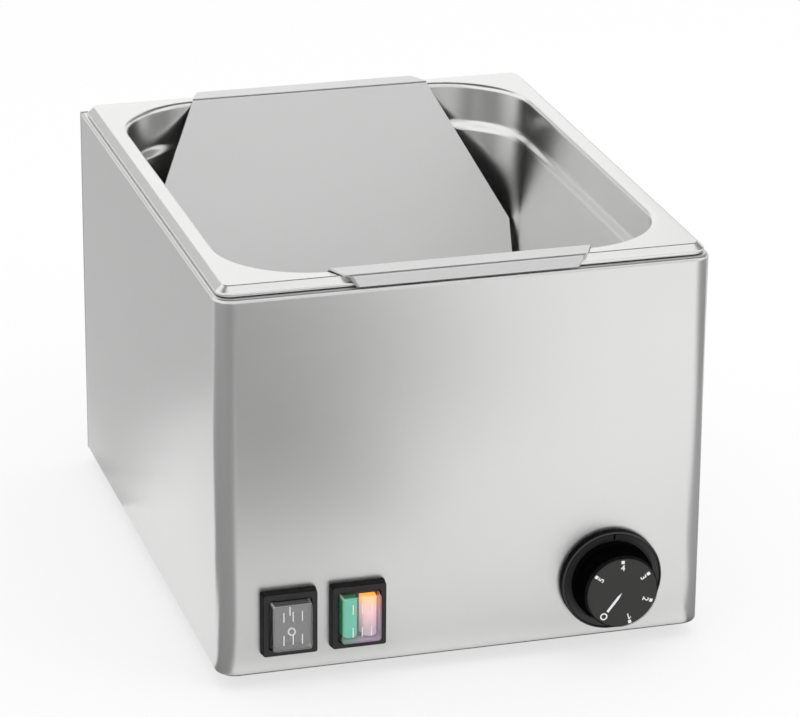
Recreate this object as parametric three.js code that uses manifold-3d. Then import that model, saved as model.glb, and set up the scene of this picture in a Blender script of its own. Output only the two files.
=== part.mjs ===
// Chip warmer: an electric counter unit in folded stainless sheet. A gastronorm pan hangs in a heated
// well, and a perforated insert in the pan keeps the chips off its floor. Millimetres, +Z up, the front
// faces -Y. The origin lies on the surface that the feet stand on, under the middle of the unit.
import * as THREE from 'three';
import { mergeVertices } from 'three/addons/utils/BufferGeometryUtils.js';
import Module from 'manifold-3d';

const wasm = await Module();
wasm.setup();

// Driving dimensions: food pan, a half-size gastronorm container
const PAN_WIDTH = 265;
const PAN_LENGTH = 325;
const PAN_DEPTH = 150;
const PAN_SHEET = 0.8;
const PAN_FLANGE = 10;
const PAN_RIM_DROP = 5.4;
const PAN_CORNER = 50;
const PAN_EDGE_RADIUS = 3;

// Driving dimensions: casing, which stands out beyond the pan's flange all round
const CASE_SIDE_MARGIN = 2;
const CASE_END_MARGIN = 4;
const UPRIGHT_RADIUS = 11;
const SHEET = 1;
const SEAM_WIDTH = 12;
const FOOT_HEIGHT = 8;
const CASE_WIDTH = PAN_WIDTH + 2 * CASE_SIDE_MARGIN;
const CASE_DEPTH = PAN_LENGTH + 2 * CASE_END_MARGIN;

// Driving dimensions: heating well
const WELL_CLEARANCE = 3.7;
const WELL_UNDER_PAN = 9;

// Driving dimensions: chip insert, its half widths narrowing from the widest one
const INSERT_DEPTH = 134;
const INSERT_SHEET = 1;
const INSERT_SIDE_CLEARANCE = 8.5;
const INSERT_TOP_NARROWING = 40;
const INSERT_FLOOR_NARROWING = 3;

// Driving dimensions: controls on the front panel, from its nearer side and its bottom edge
const ROCKER_FROM_SIDE = 37.1;
const LAMP_FROM_SIDE = 74.7;
const KNOB_FROM_SIDE = 53.4;
const SWITCH_ABOVE_EDGE = 11.5;
const FRAME_HEIGHT = 36.4;
const RING_ABOVE_EDGE = 5.1;
const RING_RADIUS = 28.1;
const THERMOSTAT_HEIGHT = 34;
const THERMOSTAT_HEADROOM = 6.5;
const SWITCH_Z = FRAME_HEIGHT / 2 + SWITCH_ABOVE_EDGE;
const KNOB_Z = RING_RADIUS + RING_ABOVE_EDGE;
const KNOB_REACH = 21.2;
const GLAND_REACH = 21.2;
const ROCKER_X = ROCKER_FROM_SIDE - CASE_WIDTH / 2;
const LAMP_X = LAMP_FROM_SIDE - CASE_WIDTH / 2;
const KNOB_X = CASE_WIDTH / 2 - KNOB_FROM_SIDE;

// Clearances: between parts that are fitted together, and the overrun of every cut
const FIT = 0.3;
const OVERRUN = 5;

// The compartment under the well holds the thermostat, and the pan's flange lies just above the deck.
const COMPARTMENT_HEIGHT = KNOB_Z + THERMOSTAT_HEIGHT / 2 + THERMOSTAT_HEADROOM;
const PAN_TOP = COMPARTMENT_HEIGHT + SHEET + WELL_UNDER_PAN + PAN_DEPTH;
const PAN_SEAT = PAN_TOP - PAN_RIM_DROP;
const CASE_HEIGHT = PAN_SEAT - FIT;

// How finely corners and bends are faceted
const CORNER_STEPS = 6;
const SMALL_CORNER_STEPS = 2;
const SCREW_SIDES = 12;
const ROUND_SIDES = 16;
const BEND_SHARES = [0, 1 / 3, 2 / 3, 1];
const TIGHT_BEND_SHARES = [0, 1 / 2, 1];

// The pan's opening starts inside its flange, and the well follows the pan's walls.
const PAN_WALL_INSET = PAN_FLANGE + PAN_EDGE_RADIUS;
const PAN_HALF_X = PAN_WIDTH / 2 - PAN_WALL_INSET;
const PAN_HALF_Y = PAN_LENGTH / 2 - PAN_WALL_INSET;
const WELL_HALF_X = PAN_HALF_X + PAN_SHEET + WELL_CLEARANCE;
const WELL_HALF_Y = PAN_HALF_Y + PAN_SHEET + WELL_CLEARANCE;
const WELL_CORNER = PAN_CORNER + PAN_SHEET + WELL_CLEARANCE;
const WELL_FLOOR = PAN_TOP - PAN_DEPTH - WELL_UNDER_PAN;
const WELL_UNDERSIDE = WELL_FLOOR - SHEET;
const INNER_HALF_X = CASE_WIDTH / 2 - SHEET;
const FRONT = -CASE_DEPTH / 2;
const REAR = CASE_DEPTH / 2;
const PANEL_INSIDE = REAR - SHEET;

// Materials
function finish(color, roughness, metalness) {
  return new THREE.MeshStandardMaterial({ color, roughness, metalness });
}

const satinSteel = finish(0xc4c6c8, 0.35, 1);
const panSteel = finish(0xd8dadb, 0.18, 1);
const insertSteel = finish(0xc9cacb, 0.4, 1);
const zincSteel = finish(0xa9adb0, 0.45, 1);
const brass = finish(0xc9a75a, 0.35, 1);
const heaterSheath = finish(0x6e6a66, 0.55, 1);
const blackPlastic = finish(0x151515, 0.35, 0);
const knobPlastic = finish(0x343434, 0.55, 0);
const housingPlastic = finish(0x2b2b2b, 0.6, 0);
const clearCover = new THREE.MeshStandardMaterial({
  color: 0xdfe3e6, roughness: 0.1, metalness: 0, transparent: true, opacity: 0.35,
});
const greenLens = finish(0x1f9a6b, 0.2, 0);
const orangeLens = finish(0xf08a2a, 0.2, 0);
const rubber = finish(0x1c1c1c, 0.9, 0);
const ceramic = finish(0xe4dfd2, 0.8, 0);
const copper = finish(0xb87348, 0.4, 1);

// Closed geometry with merged corners, and no triangle that has shrunk to an edge.
function weld(geometry) {
  const plain = geometry.clone();
  plain.deleteAttribute('normal');
  plain.deleteAttribute('uv');
  const merged = mergeVertices(plain);
  const kept = [];
  const index = merged.index.array;
  for (let at = 0; at < index.length; at += 3) {
    const [a, b, c] = index.slice(at, at + 3);
    if (a !== b && b !== c && c !== a) kept.push(a, b, c);
  }
  merged.setIndex(kept);
  return merged;
}

function toSolid(geometry) {
  const merged = weld(geometry);
  return new wasm.Manifold(new wasm.Mesh({
    numProp: 3,
    vertProperties: new Float32Array(merged.attributes.position.array),
    triVerts: new Uint32Array(merged.index.array),
  }));
}

function toGeometry(solid) {
  const { vertProperties, triVerts } = solid.getMesh();
  const geometry = new THREE.BufferGeometry();
  geometry.setAttribute('position', new THREE.BufferAttribute(vertProperties, 3));
  geometry.setIndex(new THREE.BufferAttribute(triVerts, 1));
  return geometry;
}

function join(first, ...others) {
  return toGeometry(others.reduce((solid, other) => solid.add(toSolid(other)), toSolid(first)));
}

function cut(body, ...tools) {
  return toGeometry(tools.reduce((solid, tool) => solid.subtract(toSolid(tool)), toSolid(body)));
}

function common(first, ...others) {
  return toGeometry(others.reduce((solid, other) => solid.intersect(toSolid(other)), toSolid(first)));
}

function piece(name, geometry, material) {
  const mesh = new THREE.Mesh(weld(geometry), material);
  mesh.name = name;
  return mesh;
}

// A block between two heights, by its middle and its full width and depth.
function block(x, y, width, depth, bottom, top) {
  return new THREE.BoxGeometry(width, depth, top - bottom).translate(x, y, (bottom + top) / 2);
}

// An upright cylinder or cone between two heights.
function post(x, y, radius, bottom, top, sides = 16, topRadius = radius) {
  return new THREE.CylinderGeometry(topRadius, radius, top - bottom, sides)
    .rotateX(Math.PI / 2)
    .translate(x, y, (bottom + top) / 2);
}

// A cylinder along Y between two depths.
function pin(x, z, radius, from, to, sides = 16) {
  return new THREE.CylinderGeometry(radius, radius, to - from, sides).translate(x, (from + to) / 2, z);
}

// A profile of [radius, height] turned about the upright axis.
function turned(profile, sides) {
  const points = profile.map(([radius, height]) => new THREE.Vector2(radius, height));
  return new THREE.LatheGeometry(points, sides).rotateX(Math.PI / 2);
}

// A flat outline of [x, y] corners, raised between two heights.
function prism(corners, bottom, top) {
  const shape = new THREE.Shape(corners.map(([x, y]) => new THREE.Vector2(x, y)));
  const depth = top - bottom;
  return new THREE.ExtrudeGeometry(shape, { depth, bevelEnabled: false }).translate(0, 0, bottom);
}

// A profile in the plane of Y and Z, extruded along X and centred.
function acrossX(shape, width) {
  return new THREE.ExtrudeGeometry(shape, { depth: width, bevelEnabled: false })
    .translate(0, 0, -width / 2)
    .applyMatrix4(new THREE.Matrix4().makeBasis(
      new THREE.Vector3(0, 1, 0),
      new THREE.Vector3(0, 0, 1),
      new THREE.Vector3(1, 0, 0),
    ));
}

function hexagon(acrossFlats) {
  const reach = acrossFlats / 2 / Math.cos(Math.PI / 6);
  return Array.from({ length: 6 }, (_, side) => [
    reach * Math.cos(side * Math.PI / 3),
    reach * Math.sin(side * Math.PI / 3),
  ]);
}

// A rounded rectangle at one height. Every ring has the same number of points, so rings of any size and
// corner can be lofted. The two corners at the front may have a radius of their own.
function ring(halfX, halfY, radius, z, frontRadius = radius, steps = CORNER_STEPS) {
  const points = [];
  [[1, 1], [-1, 1], [-1, -1], [1, -1]].forEach(([sideX, sideY], quarter) => {
    const bend = sideY > 0 ? radius : frontRadius;
    for (let step = 0; step <= steps; step += 1) {
      const angle = (quarter + step / steps) * Math.PI / 2;
      points.push(new THREE.Vector3(
        sideX * (halfX - bend) + bend * Math.cos(angle),
        sideY * (halfY - bend) + bend * Math.sin(angle),
        z,
      ));
    }
  });
  return points;
}

function smallRing(halfX, halfY, radius, z) {
  return ring(halfX, halfY, radius, z, radius, SMALL_CORNER_STEPS);
}

// A skin through rings of equally many points. It is capped at the first and last ring, or, as a hoop,
// joins the last ring to the first.
function loft(rings, hoop = false) {
  const count = rings[0].length;
  const index = [];
  const bands = hoop ? rings.length : rings.length - 1;
  for (let band = 0; band < bands; band += 1) {
    const low = band * count;
    const high = ((band + 1) % rings.length) * count;
    for (let at = 0; at < count; at += 1) {
      const next = (at + 1) % count;
      index.push(low + at, low + next, high + next, low + at, high + next, high + at);
    }
  }
  if (!hoop) {
    const last = (rings.length - 1) * count;
    for (let at = 1; at < count - 1; at += 1) {
      index.push(0, at + 1, at);
      index.push(last, last + at, last + at + 1);
    }
  }
  const geometry = new THREE.BufferGeometry().setFromPoints(rings.flat());
  geometry.setIndex(index);
  return geometry;
}

// A route through points, whose rings fall on those points, so that straight runs take no facets.
class Route extends THREE.Curve {
  constructor(points) {
    super();
    this.points = points;
  }

  getPoint(share, target = new THREE.Vector3()) {
    const last = this.points.length - 1;
    const place = Math.min(share * last, last);
    const from = Math.min(Math.floor(place), last - 1);
    return target.lerpVectors(this.points[from], this.points[from + 1], place - from);
  }

  getTangent(share, target = new THREE.Vector3()) {
    const last = this.points.length - 1;
    const at = Math.round(share * last);
    const before = this.points[Math.max(at - 1, 0)];
    const after = this.points[Math.min(at + 1, last)];
    const here = this.points[at];
    const inward = here.clone().sub(before).normalize();
    const outward = after.clone().sub(here).normalize();
    return target.copy(inward).add(outward).normalize();
  }

  getPointAt(share, target) {
    return this.getPoint(share, target);
  }

  getTangentAt(share, target) {
    return this.getTangent(share, target);
  }
}

function rod(points, radius, sides) {
  const section = new THREE.Shape();
  section.setFromPoints(Array.from({ length: sides }, (_, side) => new THREE.Vector2(
    radius * Math.cos(side * 2 * Math.PI / sides),
    radius * Math.sin(side * 2 * Math.PI / sides),
  )));
  const route = new Route(points);
  return new THREE.ExtrudeGeometry(section, { steps: points.length - 1, extrudePath: route });
}

// Casing wrap: bottom seam, walls, a soft bend at the top and a deck turned in to the well's mouth
const TOP_BEND = 2;
const RUN_IN = 0.5;

function frontOpening(x, z, width, height) {
  return block(x, FRONT, width, OVERRUN * 2, z - height / 2, z + height / 2);
}

function makeCasingWrap() {
  const halfX = CASE_WIDTH / 2;
  const back = REAR - SHEET;
  const halfY = (back - FRONT) / 2;
  const shift = (back + FRONT) / 2;
  const wall = (inset, z) => ring(
    halfX - inset,
    halfY - inset,
    Math.max(TOP_BEND - inset, RUN_IN),
    z,
    Math.max(UPRIGHT_RADIUS - inset, RUN_IN),
  ).map((point) => point.setY(point.y + shift));
  const mouth = (z) => ring(WELL_HALF_X, WELL_HALF_Y, WELL_CORNER, z);
  const bend = (radius) => BEND_SHARES.map((share) => {
    const angle = share * Math.PI / 2;
    return wall(
      TOP_BEND - radius * Math.cos(angle),
      CASE_HEIGHT - TOP_BEND + radius * Math.sin(angle),
    );
  });
  const shell = loft([
    wall(SEAM_WIDTH, 0),
    wall(0, 0),
    ...bend(TOP_BEND),
    mouth(CASE_HEIGHT),
    mouth(CASE_HEIGHT - SHEET),
    ...bend(TOP_BEND - SHEET).reverse(),
    wall(SHEET, SHEET),
    wall(SEAM_WIDTH, SHEET),
  ], true);
  const rearWidth = CASE_WIDTH - 2 * SEAM_WIDTH;
  const rearDepth = SEAM_WIDTH + OVERRUN;
  const frontHole = (x, z, radius, sides) => pin(x, z, radius, FRONT - OVERRUN, FRONT + OVERRUN, sides);
  const rearHole = (x, z, radius) => pin(x, z, radius, back - OVERRUN, back + OVERRUN, SCREW_SIDES);
  return cut(
    shell,
    block(0, back - SEAM_WIDTH + rearDepth / 2, rearWidth, rearDepth, -OVERRUN, CASE_HEIGHT + OVERRUN),
    frontOpening(ROCKER_X, SWITCH_Z, SWITCH_CUT_WIDTH, SWITCH_CUT_HEIGHT),
    frontOpening(LAMP_X, SWITCH_Z, SWITCH_CUT_WIDTH, SWITCH_CUT_HEIGHT),
    frontHole(KNOB_X, KNOB_Z, SPINDLE_RADIUS + PANEL_HOLE_CLEARANCE, ROUND_SIDES),
    ...panelScrewPlaces().map(([x, z]) => frontHole(x, z, PANEL_SCREW_RADIUS + FIT, SCREW_SIDES)),
    ...rearScrewPlaces().map(([x, z]) => rearHole(x, z, REAR_SCREW_RADIUS + FIT)),
  );
}

// Rear panel: a flat sheet on the casing's return seams, with a tab at the top that completes the deck
const REAR_SCREW_RADIUS = 2;
const REAR_SCREW_EDGE = 7;
const REAR_SCREW_END = 22;
const REAR_SCREW_HEAD = 3.8;
const REAR_SCREW_HEAD_HEIGHT = 2.2;
const REAR_SCREW_LENGTH = 8;

function rearScrewPlaces() {
  const x = CASE_WIDTH / 2 - REAR_SCREW_EDGE;
  const heights = [REAR_SCREW_END, CASE_HEIGHT - REAR_SCREW_END];
  return heights.flatMap((z) => [[-x, z], [x, z]]);
}

function makeRearPanel() {
  const tabHalf = CASE_WIDTH / 2 - SEAM_WIDTH - FIT;
  const tabFront = PANEL_INSIDE - SEAM_WIDTH + FIT;
  const tabDepth = PANEL_INSIDE - tabFront + SHEET / 2;
  const tab = cut(
    block(0, tabFront + tabDepth / 2, tabHalf * 2, tabDepth, CASE_HEIGHT - SHEET, CASE_HEIGHT),
    loft([
      ring(WELL_HALF_X, WELL_HALF_Y, WELL_CORNER, CASE_HEIGHT - OVERRUN),
      ring(WELL_HALF_X, WELL_HALF_Y, WELL_CORNER, CASE_HEIGHT + OVERRUN),
    ]),
  );
  const sill = block(0, tabFront + tabDepth / 2, tabHalf * 2, tabDepth, 0, SHEET);
  const plate = block(0, REAR - SHEET / 2, CASE_WIDTH, SHEET, 0, CASE_HEIGHT);
  const hole = (x, z, radius, sides) => pin(x, z, radius, PANEL_INSIDE - OVERRUN, REAR + OVERRUN, sides);
  return cut(
    join(plate, tab, sill),
    hole(GLAND_X, GLAND_Z, GLAND_THREAD_RADIUS + FIT, GLAND_SIDES),
    ...rearScrewPlaces().map(([x, z]) => hole(x, z, REAR_SCREW_RADIUS + FIT, SCREW_SIDES)),
  );
}

function makeRearScrew([x, z]) {
  const profile = [
    [0, -REAR_SCREW_LENGTH],
    [REAR_SCREW_RADIUS, -REAR_SCREW_LENGTH],
    [REAR_SCREW_RADIUS, 0],
    [REAR_SCREW_HEAD, 0],
    [REAR_SCREW_HEAD, REAR_SCREW_HEAD_HEIGHT / 2],
    [REAR_SCREW_HEAD / 2, REAR_SCREW_HEAD_HEIGHT],
    [0, REAR_SCREW_HEAD_HEIGHT],
  ].map(([radius, height]) => new THREE.Vector2(radius, height));
  return new THREE.LatheGeometry(profile, SCREW_SIDES).translate(x, REAR, z);
}

// Bottom plate: a shallow tray on the casing's bottom seam, with two banks of cooling slots
const TRAY_RISE = 8;
const SLOT_LENGTH = 44;
const SLOT_WIDTH = 5;
const SLOT_PITCH = 14;
const SLOTS_PER_BANK = 5;
const SLOT_FROM_SIDE = 78.5;
const SLOT_BANK_X = CASE_WIDTH / 2 - SLOT_FROM_SIDE;
const FOOT_INSET = 40;

function footPlaces() {
  const x = CASE_WIDTH / 2 - FOOT_INSET;
  const y = CASE_DEPTH / 2 - FOOT_INSET;
  return [[-x, -y], [x, -y], [-x, y], [x, y]];
}

function slot(x, y, bottom, top) {
  const end = SLOT_WIDTH / 2;
  const shape = new THREE.Shape();
  shape.absarc(SLOT_LENGTH / 2 - end, 0, end, -Math.PI / 2, Math.PI / 2);
  shape.absarc(end - SLOT_LENGTH / 2, 0, end, Math.PI / 2, Math.PI * 3 / 2);
  const depth = top - bottom;
  return new THREE.ExtrudeGeometry(shape, { depth, bevelEnabled: false, curveSegments: 2 })
    .translate(x, y, bottom);
}

function tray(halfX, halfY, radius, bottom, rise) {
  const inner = Math.max(radius - SHEET, RUN_IN);
  return loft([
    ring(halfX, halfY, radius, bottom),
    ring(halfX, halfY, radius, bottom + rise),
    ring(halfX - SHEET, halfY - SHEET, inner, bottom + rise),
    ring(halfX - SHEET, halfY - SHEET, inner, bottom + SHEET),
  ]);
}

function makeBottomPlate() {
  const halfX = INNER_HALF_X - RUN_IN;
  const halfY = (PANEL_INSIDE - SHEET - FRONT - SHEET) / 2 - RUN_IN;
  const y = (PANEL_INSIDE + FRONT) / 2;
  const body = tray(halfX, halfY, UPRIGHT_RADIUS - SHEET, SHEET, TRAY_RISE).translate(0, y, 0);
  const slots = [];
  for (let row = 0; row < SLOTS_PER_BANK; row += 1) {
    const place = (row - (SLOTS_PER_BANK - 1) / 2) * SLOT_PITCH;
    slots.push(slot(-SLOT_BANK_X, place, -OVERRUN, OVERRUN), slot(SLOT_BANK_X, place, -OVERRUN, OVERRUN));
  }
  return cut(
    body,
    ...slots,
    ...footPlaces().map(([x, fy]) => post(x, fy, FOOT_SCREW_RADIUS + FIT, -OVERRUN, OVERRUN, SCREW_SIDES)),
    post(EARTH_X, EARTH_Y, EARTH_RADIUS + FIT, -OVERRUN, OVERRUN, SCREW_SIDES),
  );
}

// Feet: moulded rubber, each with a screw up through the bottom plate from a deep recess
const FOOT_RADIUS = 13;
const FOOT_TAPER = 1.5;
const FOOT_EDGE = 1;
const FOOT_RECESS_RADIUS = 5.5;
const FOOT_RECESS_DEPTH = 4;
const FOOT_SCREW_RADIUS = 2.5;
const FOOT_SCREW_HEAD = 4.5;
const FOOT_SCREW_HEAD_HEIGHT = 2.8;
const FOOT_SCREW_ABOVE = 6;

function makeFoot([x, y]) {
  const bore = FOOT_SCREW_RADIUS + FIT;
  const narrow = FOOT_RADIUS - FOOT_TAPER;
  return turned([
    [bore, SHEET],
    [bore, FOOT_RECESS_DEPTH - FOOT_HEIGHT],
    [FOOT_RECESS_RADIUS, FOOT_RECESS_DEPTH - FOOT_HEIGHT],
    [FOOT_RECESS_RADIUS, -FOOT_HEIGHT],
    [narrow - FOOT_EDGE, -FOOT_HEIGHT],
    [narrow, FOOT_EDGE - FOOT_HEIGHT],
    [FOOT_RADIUS, SHEET],
    [bore, SHEET],
  ], 18).translate(x, y, 0);
}

function makeFootScrew([x, y]) {
  const seat = FOOT_RECESS_DEPTH - FOOT_HEIGHT;
  const top = SHEET * 2 + FOOT_SCREW_ABOVE;
  return turned([
    [0, seat - FOOT_SCREW_HEAD_HEIGHT],
    [FOOT_SCREW_HEAD / 2, seat - FOOT_SCREW_HEAD_HEIGHT],
    [FOOT_SCREW_HEAD, seat - FOOT_SCREW_HEAD_HEIGHT / 2],
    [FOOT_SCREW_HEAD, seat],
    [FOOT_SCREW_RADIUS, seat],
    [FOOT_SCREW_RADIUS, top],
    [0, top],
  ], SCREW_SIDES).translate(x, y, 0);
}

// Heating well: a drawn tub whose flange is welded under the deck
const WELL_FLOOR_RADIUS = 8;

function makeHeatingWell() {
  const flangeHalfX = CASE_WIDTH / 2 - TOP_BEND - RUN_IN;
  const flangeHalfY = CASE_DEPTH / 2 - SHEET - TOP_BEND - RUN_IN;
  const flangeTop = CASE_HEIGHT - SHEET;
  const flangeCorner = UPRIGHT_RADIUS - SHEET;
  const wall = (grow, z) => ring(WELL_HALF_X + grow, WELL_HALF_Y + grow, WELL_CORNER + grow, z);
  const floorBend = (radius) => BEND_SHARES.map((share) => {
    const angle = share * Math.PI / 2;
    return wall(
      radius * Math.sin(angle) - WELL_FLOOR_RADIUS,
      WELL_FLOOR + WELL_FLOOR_RADIUS - radius * Math.cos(angle),
    );
  });
  return loft([
    ...floorBend(WELL_FLOOR_RADIUS + SHEET),
    wall(SHEET, flangeTop - SHEET),
    ring(flangeHalfX, flangeHalfY, flangeCorner, flangeTop - SHEET),
    ring(flangeHalfX, flangeHalfY, flangeCorner, flangeTop),
    wall(0, flangeTop),
    ...floorBend(WELL_FLOOR_RADIUS).reverse(),
  ]);
}

// Heating element: a tubular heater in three hairpin bends under the well's floor, over the whole mat
const MAT_SIDE_INSET = 29;
const MAT_END_INSET = 36;
const MAT_WIDTH = 2 * (WELL_HALF_X - MAT_SIDE_INSET);
const MAT_LENGTH = 2 * (WELL_HALF_Y - MAT_END_INSET);
const HEATER_RADIUS = 3.5;
const HEATER_RUNS = 4;
const HEATER_SIDE_MARGIN = 35;
const HEATER_END_MARGIN = 13;
const HEATER_PITCH = (MAT_WIDTH - 2 * HEATER_SIDE_MARGIN) / (HEATER_RUNS - 1);
const HEATER_LENGTH = MAT_LENGTH - 2 * HEATER_END_MARGIN;
const HEATER_BEND_STEPS = 6;
const HEATER_PIN_RADIUS = 1.5;
const HEATER_PIN_LENGTH = 12;
const HEATER_Z = WELL_UNDERSIDE - FIT - HEATER_RADIUS;

function heaterRunX(run) {
  return (run - (HEATER_RUNS - 1) / 2) * HEATER_PITCH;
}

function makeHeatingElement() {
  const bend = HEATER_PITCH / 2;
  const end = HEATER_LENGTH / 2;
  const points = [new THREE.Vector3(heaterRunX(0), end, HEATER_Z)];
  for (let run = 0; run < HEATER_RUNS - 1; run += 1) {
    const side = run % 2 === 0 ? -1 : 1;
    const middle = (heaterRunX(run) + heaterRunX(run + 1)) / 2;
    for (let step = 0; step <= HEATER_BEND_STEPS; step += 1) {
      const angle = Math.PI * (1 - step / HEATER_BEND_STEPS);
      points.push(new THREE.Vector3(
        middle + bend * Math.cos(angle),
        side * (end - bend + bend * Math.sin(angle)),
        HEATER_Z,
      ));
    }
  }
  points.push(new THREE.Vector3(heaterRunX(HEATER_RUNS - 1), end, HEATER_Z));
  const pinEnd = end + HEATER_PIN_LENGTH;
  return join(
    rod(points, HEATER_RADIUS, 8),
    pin(heaterRunX(0), HEATER_Z, HEATER_PIN_RADIUS, end - HEATER_RADIUS, pinEnd, 8),
    pin(heaterRunX(HEATER_RUNS - 1), HEATER_Z, HEATER_PIN_RADIUS, end - HEATER_RADIUS, pinEnd, 8),
  );
}

// Clamp bars, insulation mat and heat shield, hung on two studs under the well
const STUD_RADIUS = 2.5;
const STUD_FROM_END = 63;
const STUD_PLACE = MAT_LENGTH / 2 - STUD_FROM_END;
const STUD_BELOW_NUT = 3;
const CLAMP_WIDTH = 16;
const CLAMP_LEG = 5;
const CLAMP_SHEET = 1.5;
const CLAMP_OVERHANG = 12;
const MAT_THICKNESS = 8;
const MAT_MARGIN = 1.5;
const NUT_FLATS = 8;
const NUT_HEIGHT = 4;
const CLAMP_TOP = HEATER_Z - HEATER_RADIUS - FIT;
const MAT_TOP = CLAMP_TOP - CLAMP_LEG - FIT;
const SHIELD_TOP = MAT_TOP - MAT_THICKNESS - FIT;
const STUD_BOTTOM = SHIELD_TOP - SHEET - NUT_HEIGHT - STUD_BELOW_NUT;

function studHole(y, clearance = FIT) {
  return post(0, y, STUD_RADIUS + clearance, STUD_BOTTOM, WELL_FLOOR, SCREW_SIDES);
}

function makeClampBar(y) {
  const half = heaterRunX(HEATER_RUNS - 1) + CLAMP_OVERHANG;
  const inside = CLAMP_WIDTH - 2 * CLAMP_SHEET;
  const web = block(0, y, half * 2, CLAMP_WIDTH, CLAMP_TOP - CLAMP_LEG, CLAMP_TOP);
  const groove = block(0, y, half * 2 + OVERRUN, inside, STUD_BOTTOM, CLAMP_TOP - CLAMP_SHEET);
  return cut(web, groove, studHole(y));
}

function makeStud(y) {
  return post(0, y, STUD_RADIUS, STUD_BOTTOM, WELL_UNDERSIDE, SCREW_SIDES);
}

function makeClampNut(y) {
  const top = SHIELD_TOP - SHEET;
  const nut = prism(hexagon(NUT_FLATS), top - NUT_HEIGHT, top).translate(0, y, 0);
  return cut(nut, studHole(y, FIT / 2));
}

function makeInsulationMat() {
  return cut(
    block(0, 0, MAT_WIDTH, MAT_LENGTH, MAT_TOP - MAT_THICKNESS, MAT_TOP),
    studHole(-STUD_PLACE),
    studHole(STUD_PLACE),
  );
}

function makeHeatShield() {
  const halfX = MAT_WIDTH / 2 + MAT_MARGIN + SHEET;
  const halfY = MAT_LENGTH / 2 + MAT_MARGIN + SHEET;
  return cut(
    tray(halfX, halfY, TOP_BEND, SHIELD_TOP - SHEET, MAT_THICKNESS + SHEET),
    studHole(-STUD_PLACE),
    studHole(STUD_PLACE),
  );
}

// Temperature sensor: a bulb strapped under the well's floor between two heater runs, and its capillary
const BULB_RADIUS = 3;
const BULB_LENGTH = 80;
const BULB_NECK_RADIUS = 1.4;
const BULB_X = HEATER_PITCH;
const BULB_Z = WELL_UNDERSIDE - FIT - BULB_RADIUS;
const CLIP_SHEET = 0.8;
const CLIP_FOOT = 6;
const CLIP_LENGTH = 12;
const CAPILLARY_RADIUS = 1;
const CAPILLARY_DIP = 7;
const CAPILLARY_SIDES = 6;
const CAPILLARY_STEPS = 30;

function makeSensorBulb() {
  const half = BULB_LENGTH / 2;
  const dome = BULB_RADIUS / 2;
  return join(
    pin(BULB_X, BULB_Z, BULB_RADIUS, dome - half, half - dome, SCREW_SIDES),
    new THREE.SphereGeometry(BULB_RADIUS, SCREW_SIDES, SCREW_SIDES / 2)
      .rotateX(Math.PI / 2)
      .translate(BULB_X, half - dome, BULB_Z),
    new THREE.CylinderGeometry(BULB_RADIUS, BULB_NECK_RADIUS, BULB_RADIUS, SCREW_SIDES)
      .translate(BULB_X, -half, BULB_Z),
  );
}

function makeSensorClip() {
  const inside = BULB_RADIUS + FIT;
  const outside = inside + CLIP_SHEET;
  const shape = new THREE.Shape();
  const drop = BULB_RADIUS + FIT;
  shape.moveTo(-outside - CLIP_FOOT, drop);
  shape.lineTo(-outside - CLIP_FOOT, drop - CLIP_SHEET);
  shape.lineTo(-outside, drop - CLIP_SHEET);
  shape.absarc(0, 0, outside, Math.PI, Math.PI * 2);
  shape.lineTo(outside, drop - CLIP_SHEET);
  shape.lineTo(outside + CLIP_FOOT, drop - CLIP_SHEET);
  shape.lineTo(outside + CLIP_FOOT, drop);
  shape.lineTo(inside, drop);
  shape.absarc(0, 0, inside, 0, -Math.PI, true);
  shape.lineTo(-inside, drop);
  return new THREE.ExtrudeGeometry(shape, { depth: CLIP_LENGTH, bevelEnabled: false, curveSegments: 6 })
    .rotateX(Math.PI / 2)
    .translate(BULB_X, CLIP_LENGTH / 2, BULB_Z);
}

function makeCapillary() {
  const start = -(BULB_LENGTH + BULB_RADIUS) / 2 - FIT;
  const low = BULB_Z - CAPILLARY_DIP;
  const bendY = -HEATER_LENGTH / 2 + HEATER_PITCH / 2;
  const exit = FRONT + SHEET + THERMOSTAT_DEPTH + FIT * 2;
  const exitZ = KNOB_Z + THERMOSTAT_HEIGHT / 4;
  const beyondMat = (exit - MAT_LENGTH / 2) / 2;
  const through = new THREE.CatmullRomCurve3([
    new THREE.Vector3(BULB_X, start, BULB_Z),
    new THREE.Vector3(BULB_X, start * 2 / 3 + bendY / 3, BULB_Z),
    new THREE.Vector3(BULB_X, bendY, low),
    new THREE.Vector3(BULB_X, -HEATER_LENGTH / 2, low),
    new THREE.Vector3((BULB_X + KNOB_X) / 2, beyondMat, low),
    new THREE.Vector3(KNOB_X, beyondMat, exitZ),
    new THREE.Vector3(KNOB_X, exit, exitZ),
  ], false, 'centripetal');
  return rod(through.getPoints(CAPILLARY_STEPS), CAPILLARY_RADIUS, CAPILLARY_SIDES);
}

// Thermal limiter: a snap disc in a flanged can under the well's floor
const LIMITER_RADIUS = 8;
const LIMITER_HEIGHT = 7;
const LIMITER_CLEARANCE = 1.5;
const LIMITER_FLANGE = HEATER_PITCH - 2 * (HEATER_RADIUS + LIMITER_CLEARANCE);
const LIMITER_FLANGE_DEPTH = 12;
const LIMITER_X = -HEATER_PITCH;

function makeThermalLimiter() {
  const top = WELL_UNDERSIDE - FIT;
  return join(
    block(LIMITER_X, 0, LIMITER_FLANGE, LIMITER_FLANGE_DEPTH, top - CLIP_SHEET, top),
    post(LIMITER_X, 0, LIMITER_RADIUS, top - LIMITER_HEIGHT, top - CLIP_SHEET / 2),
  );
}

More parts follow.
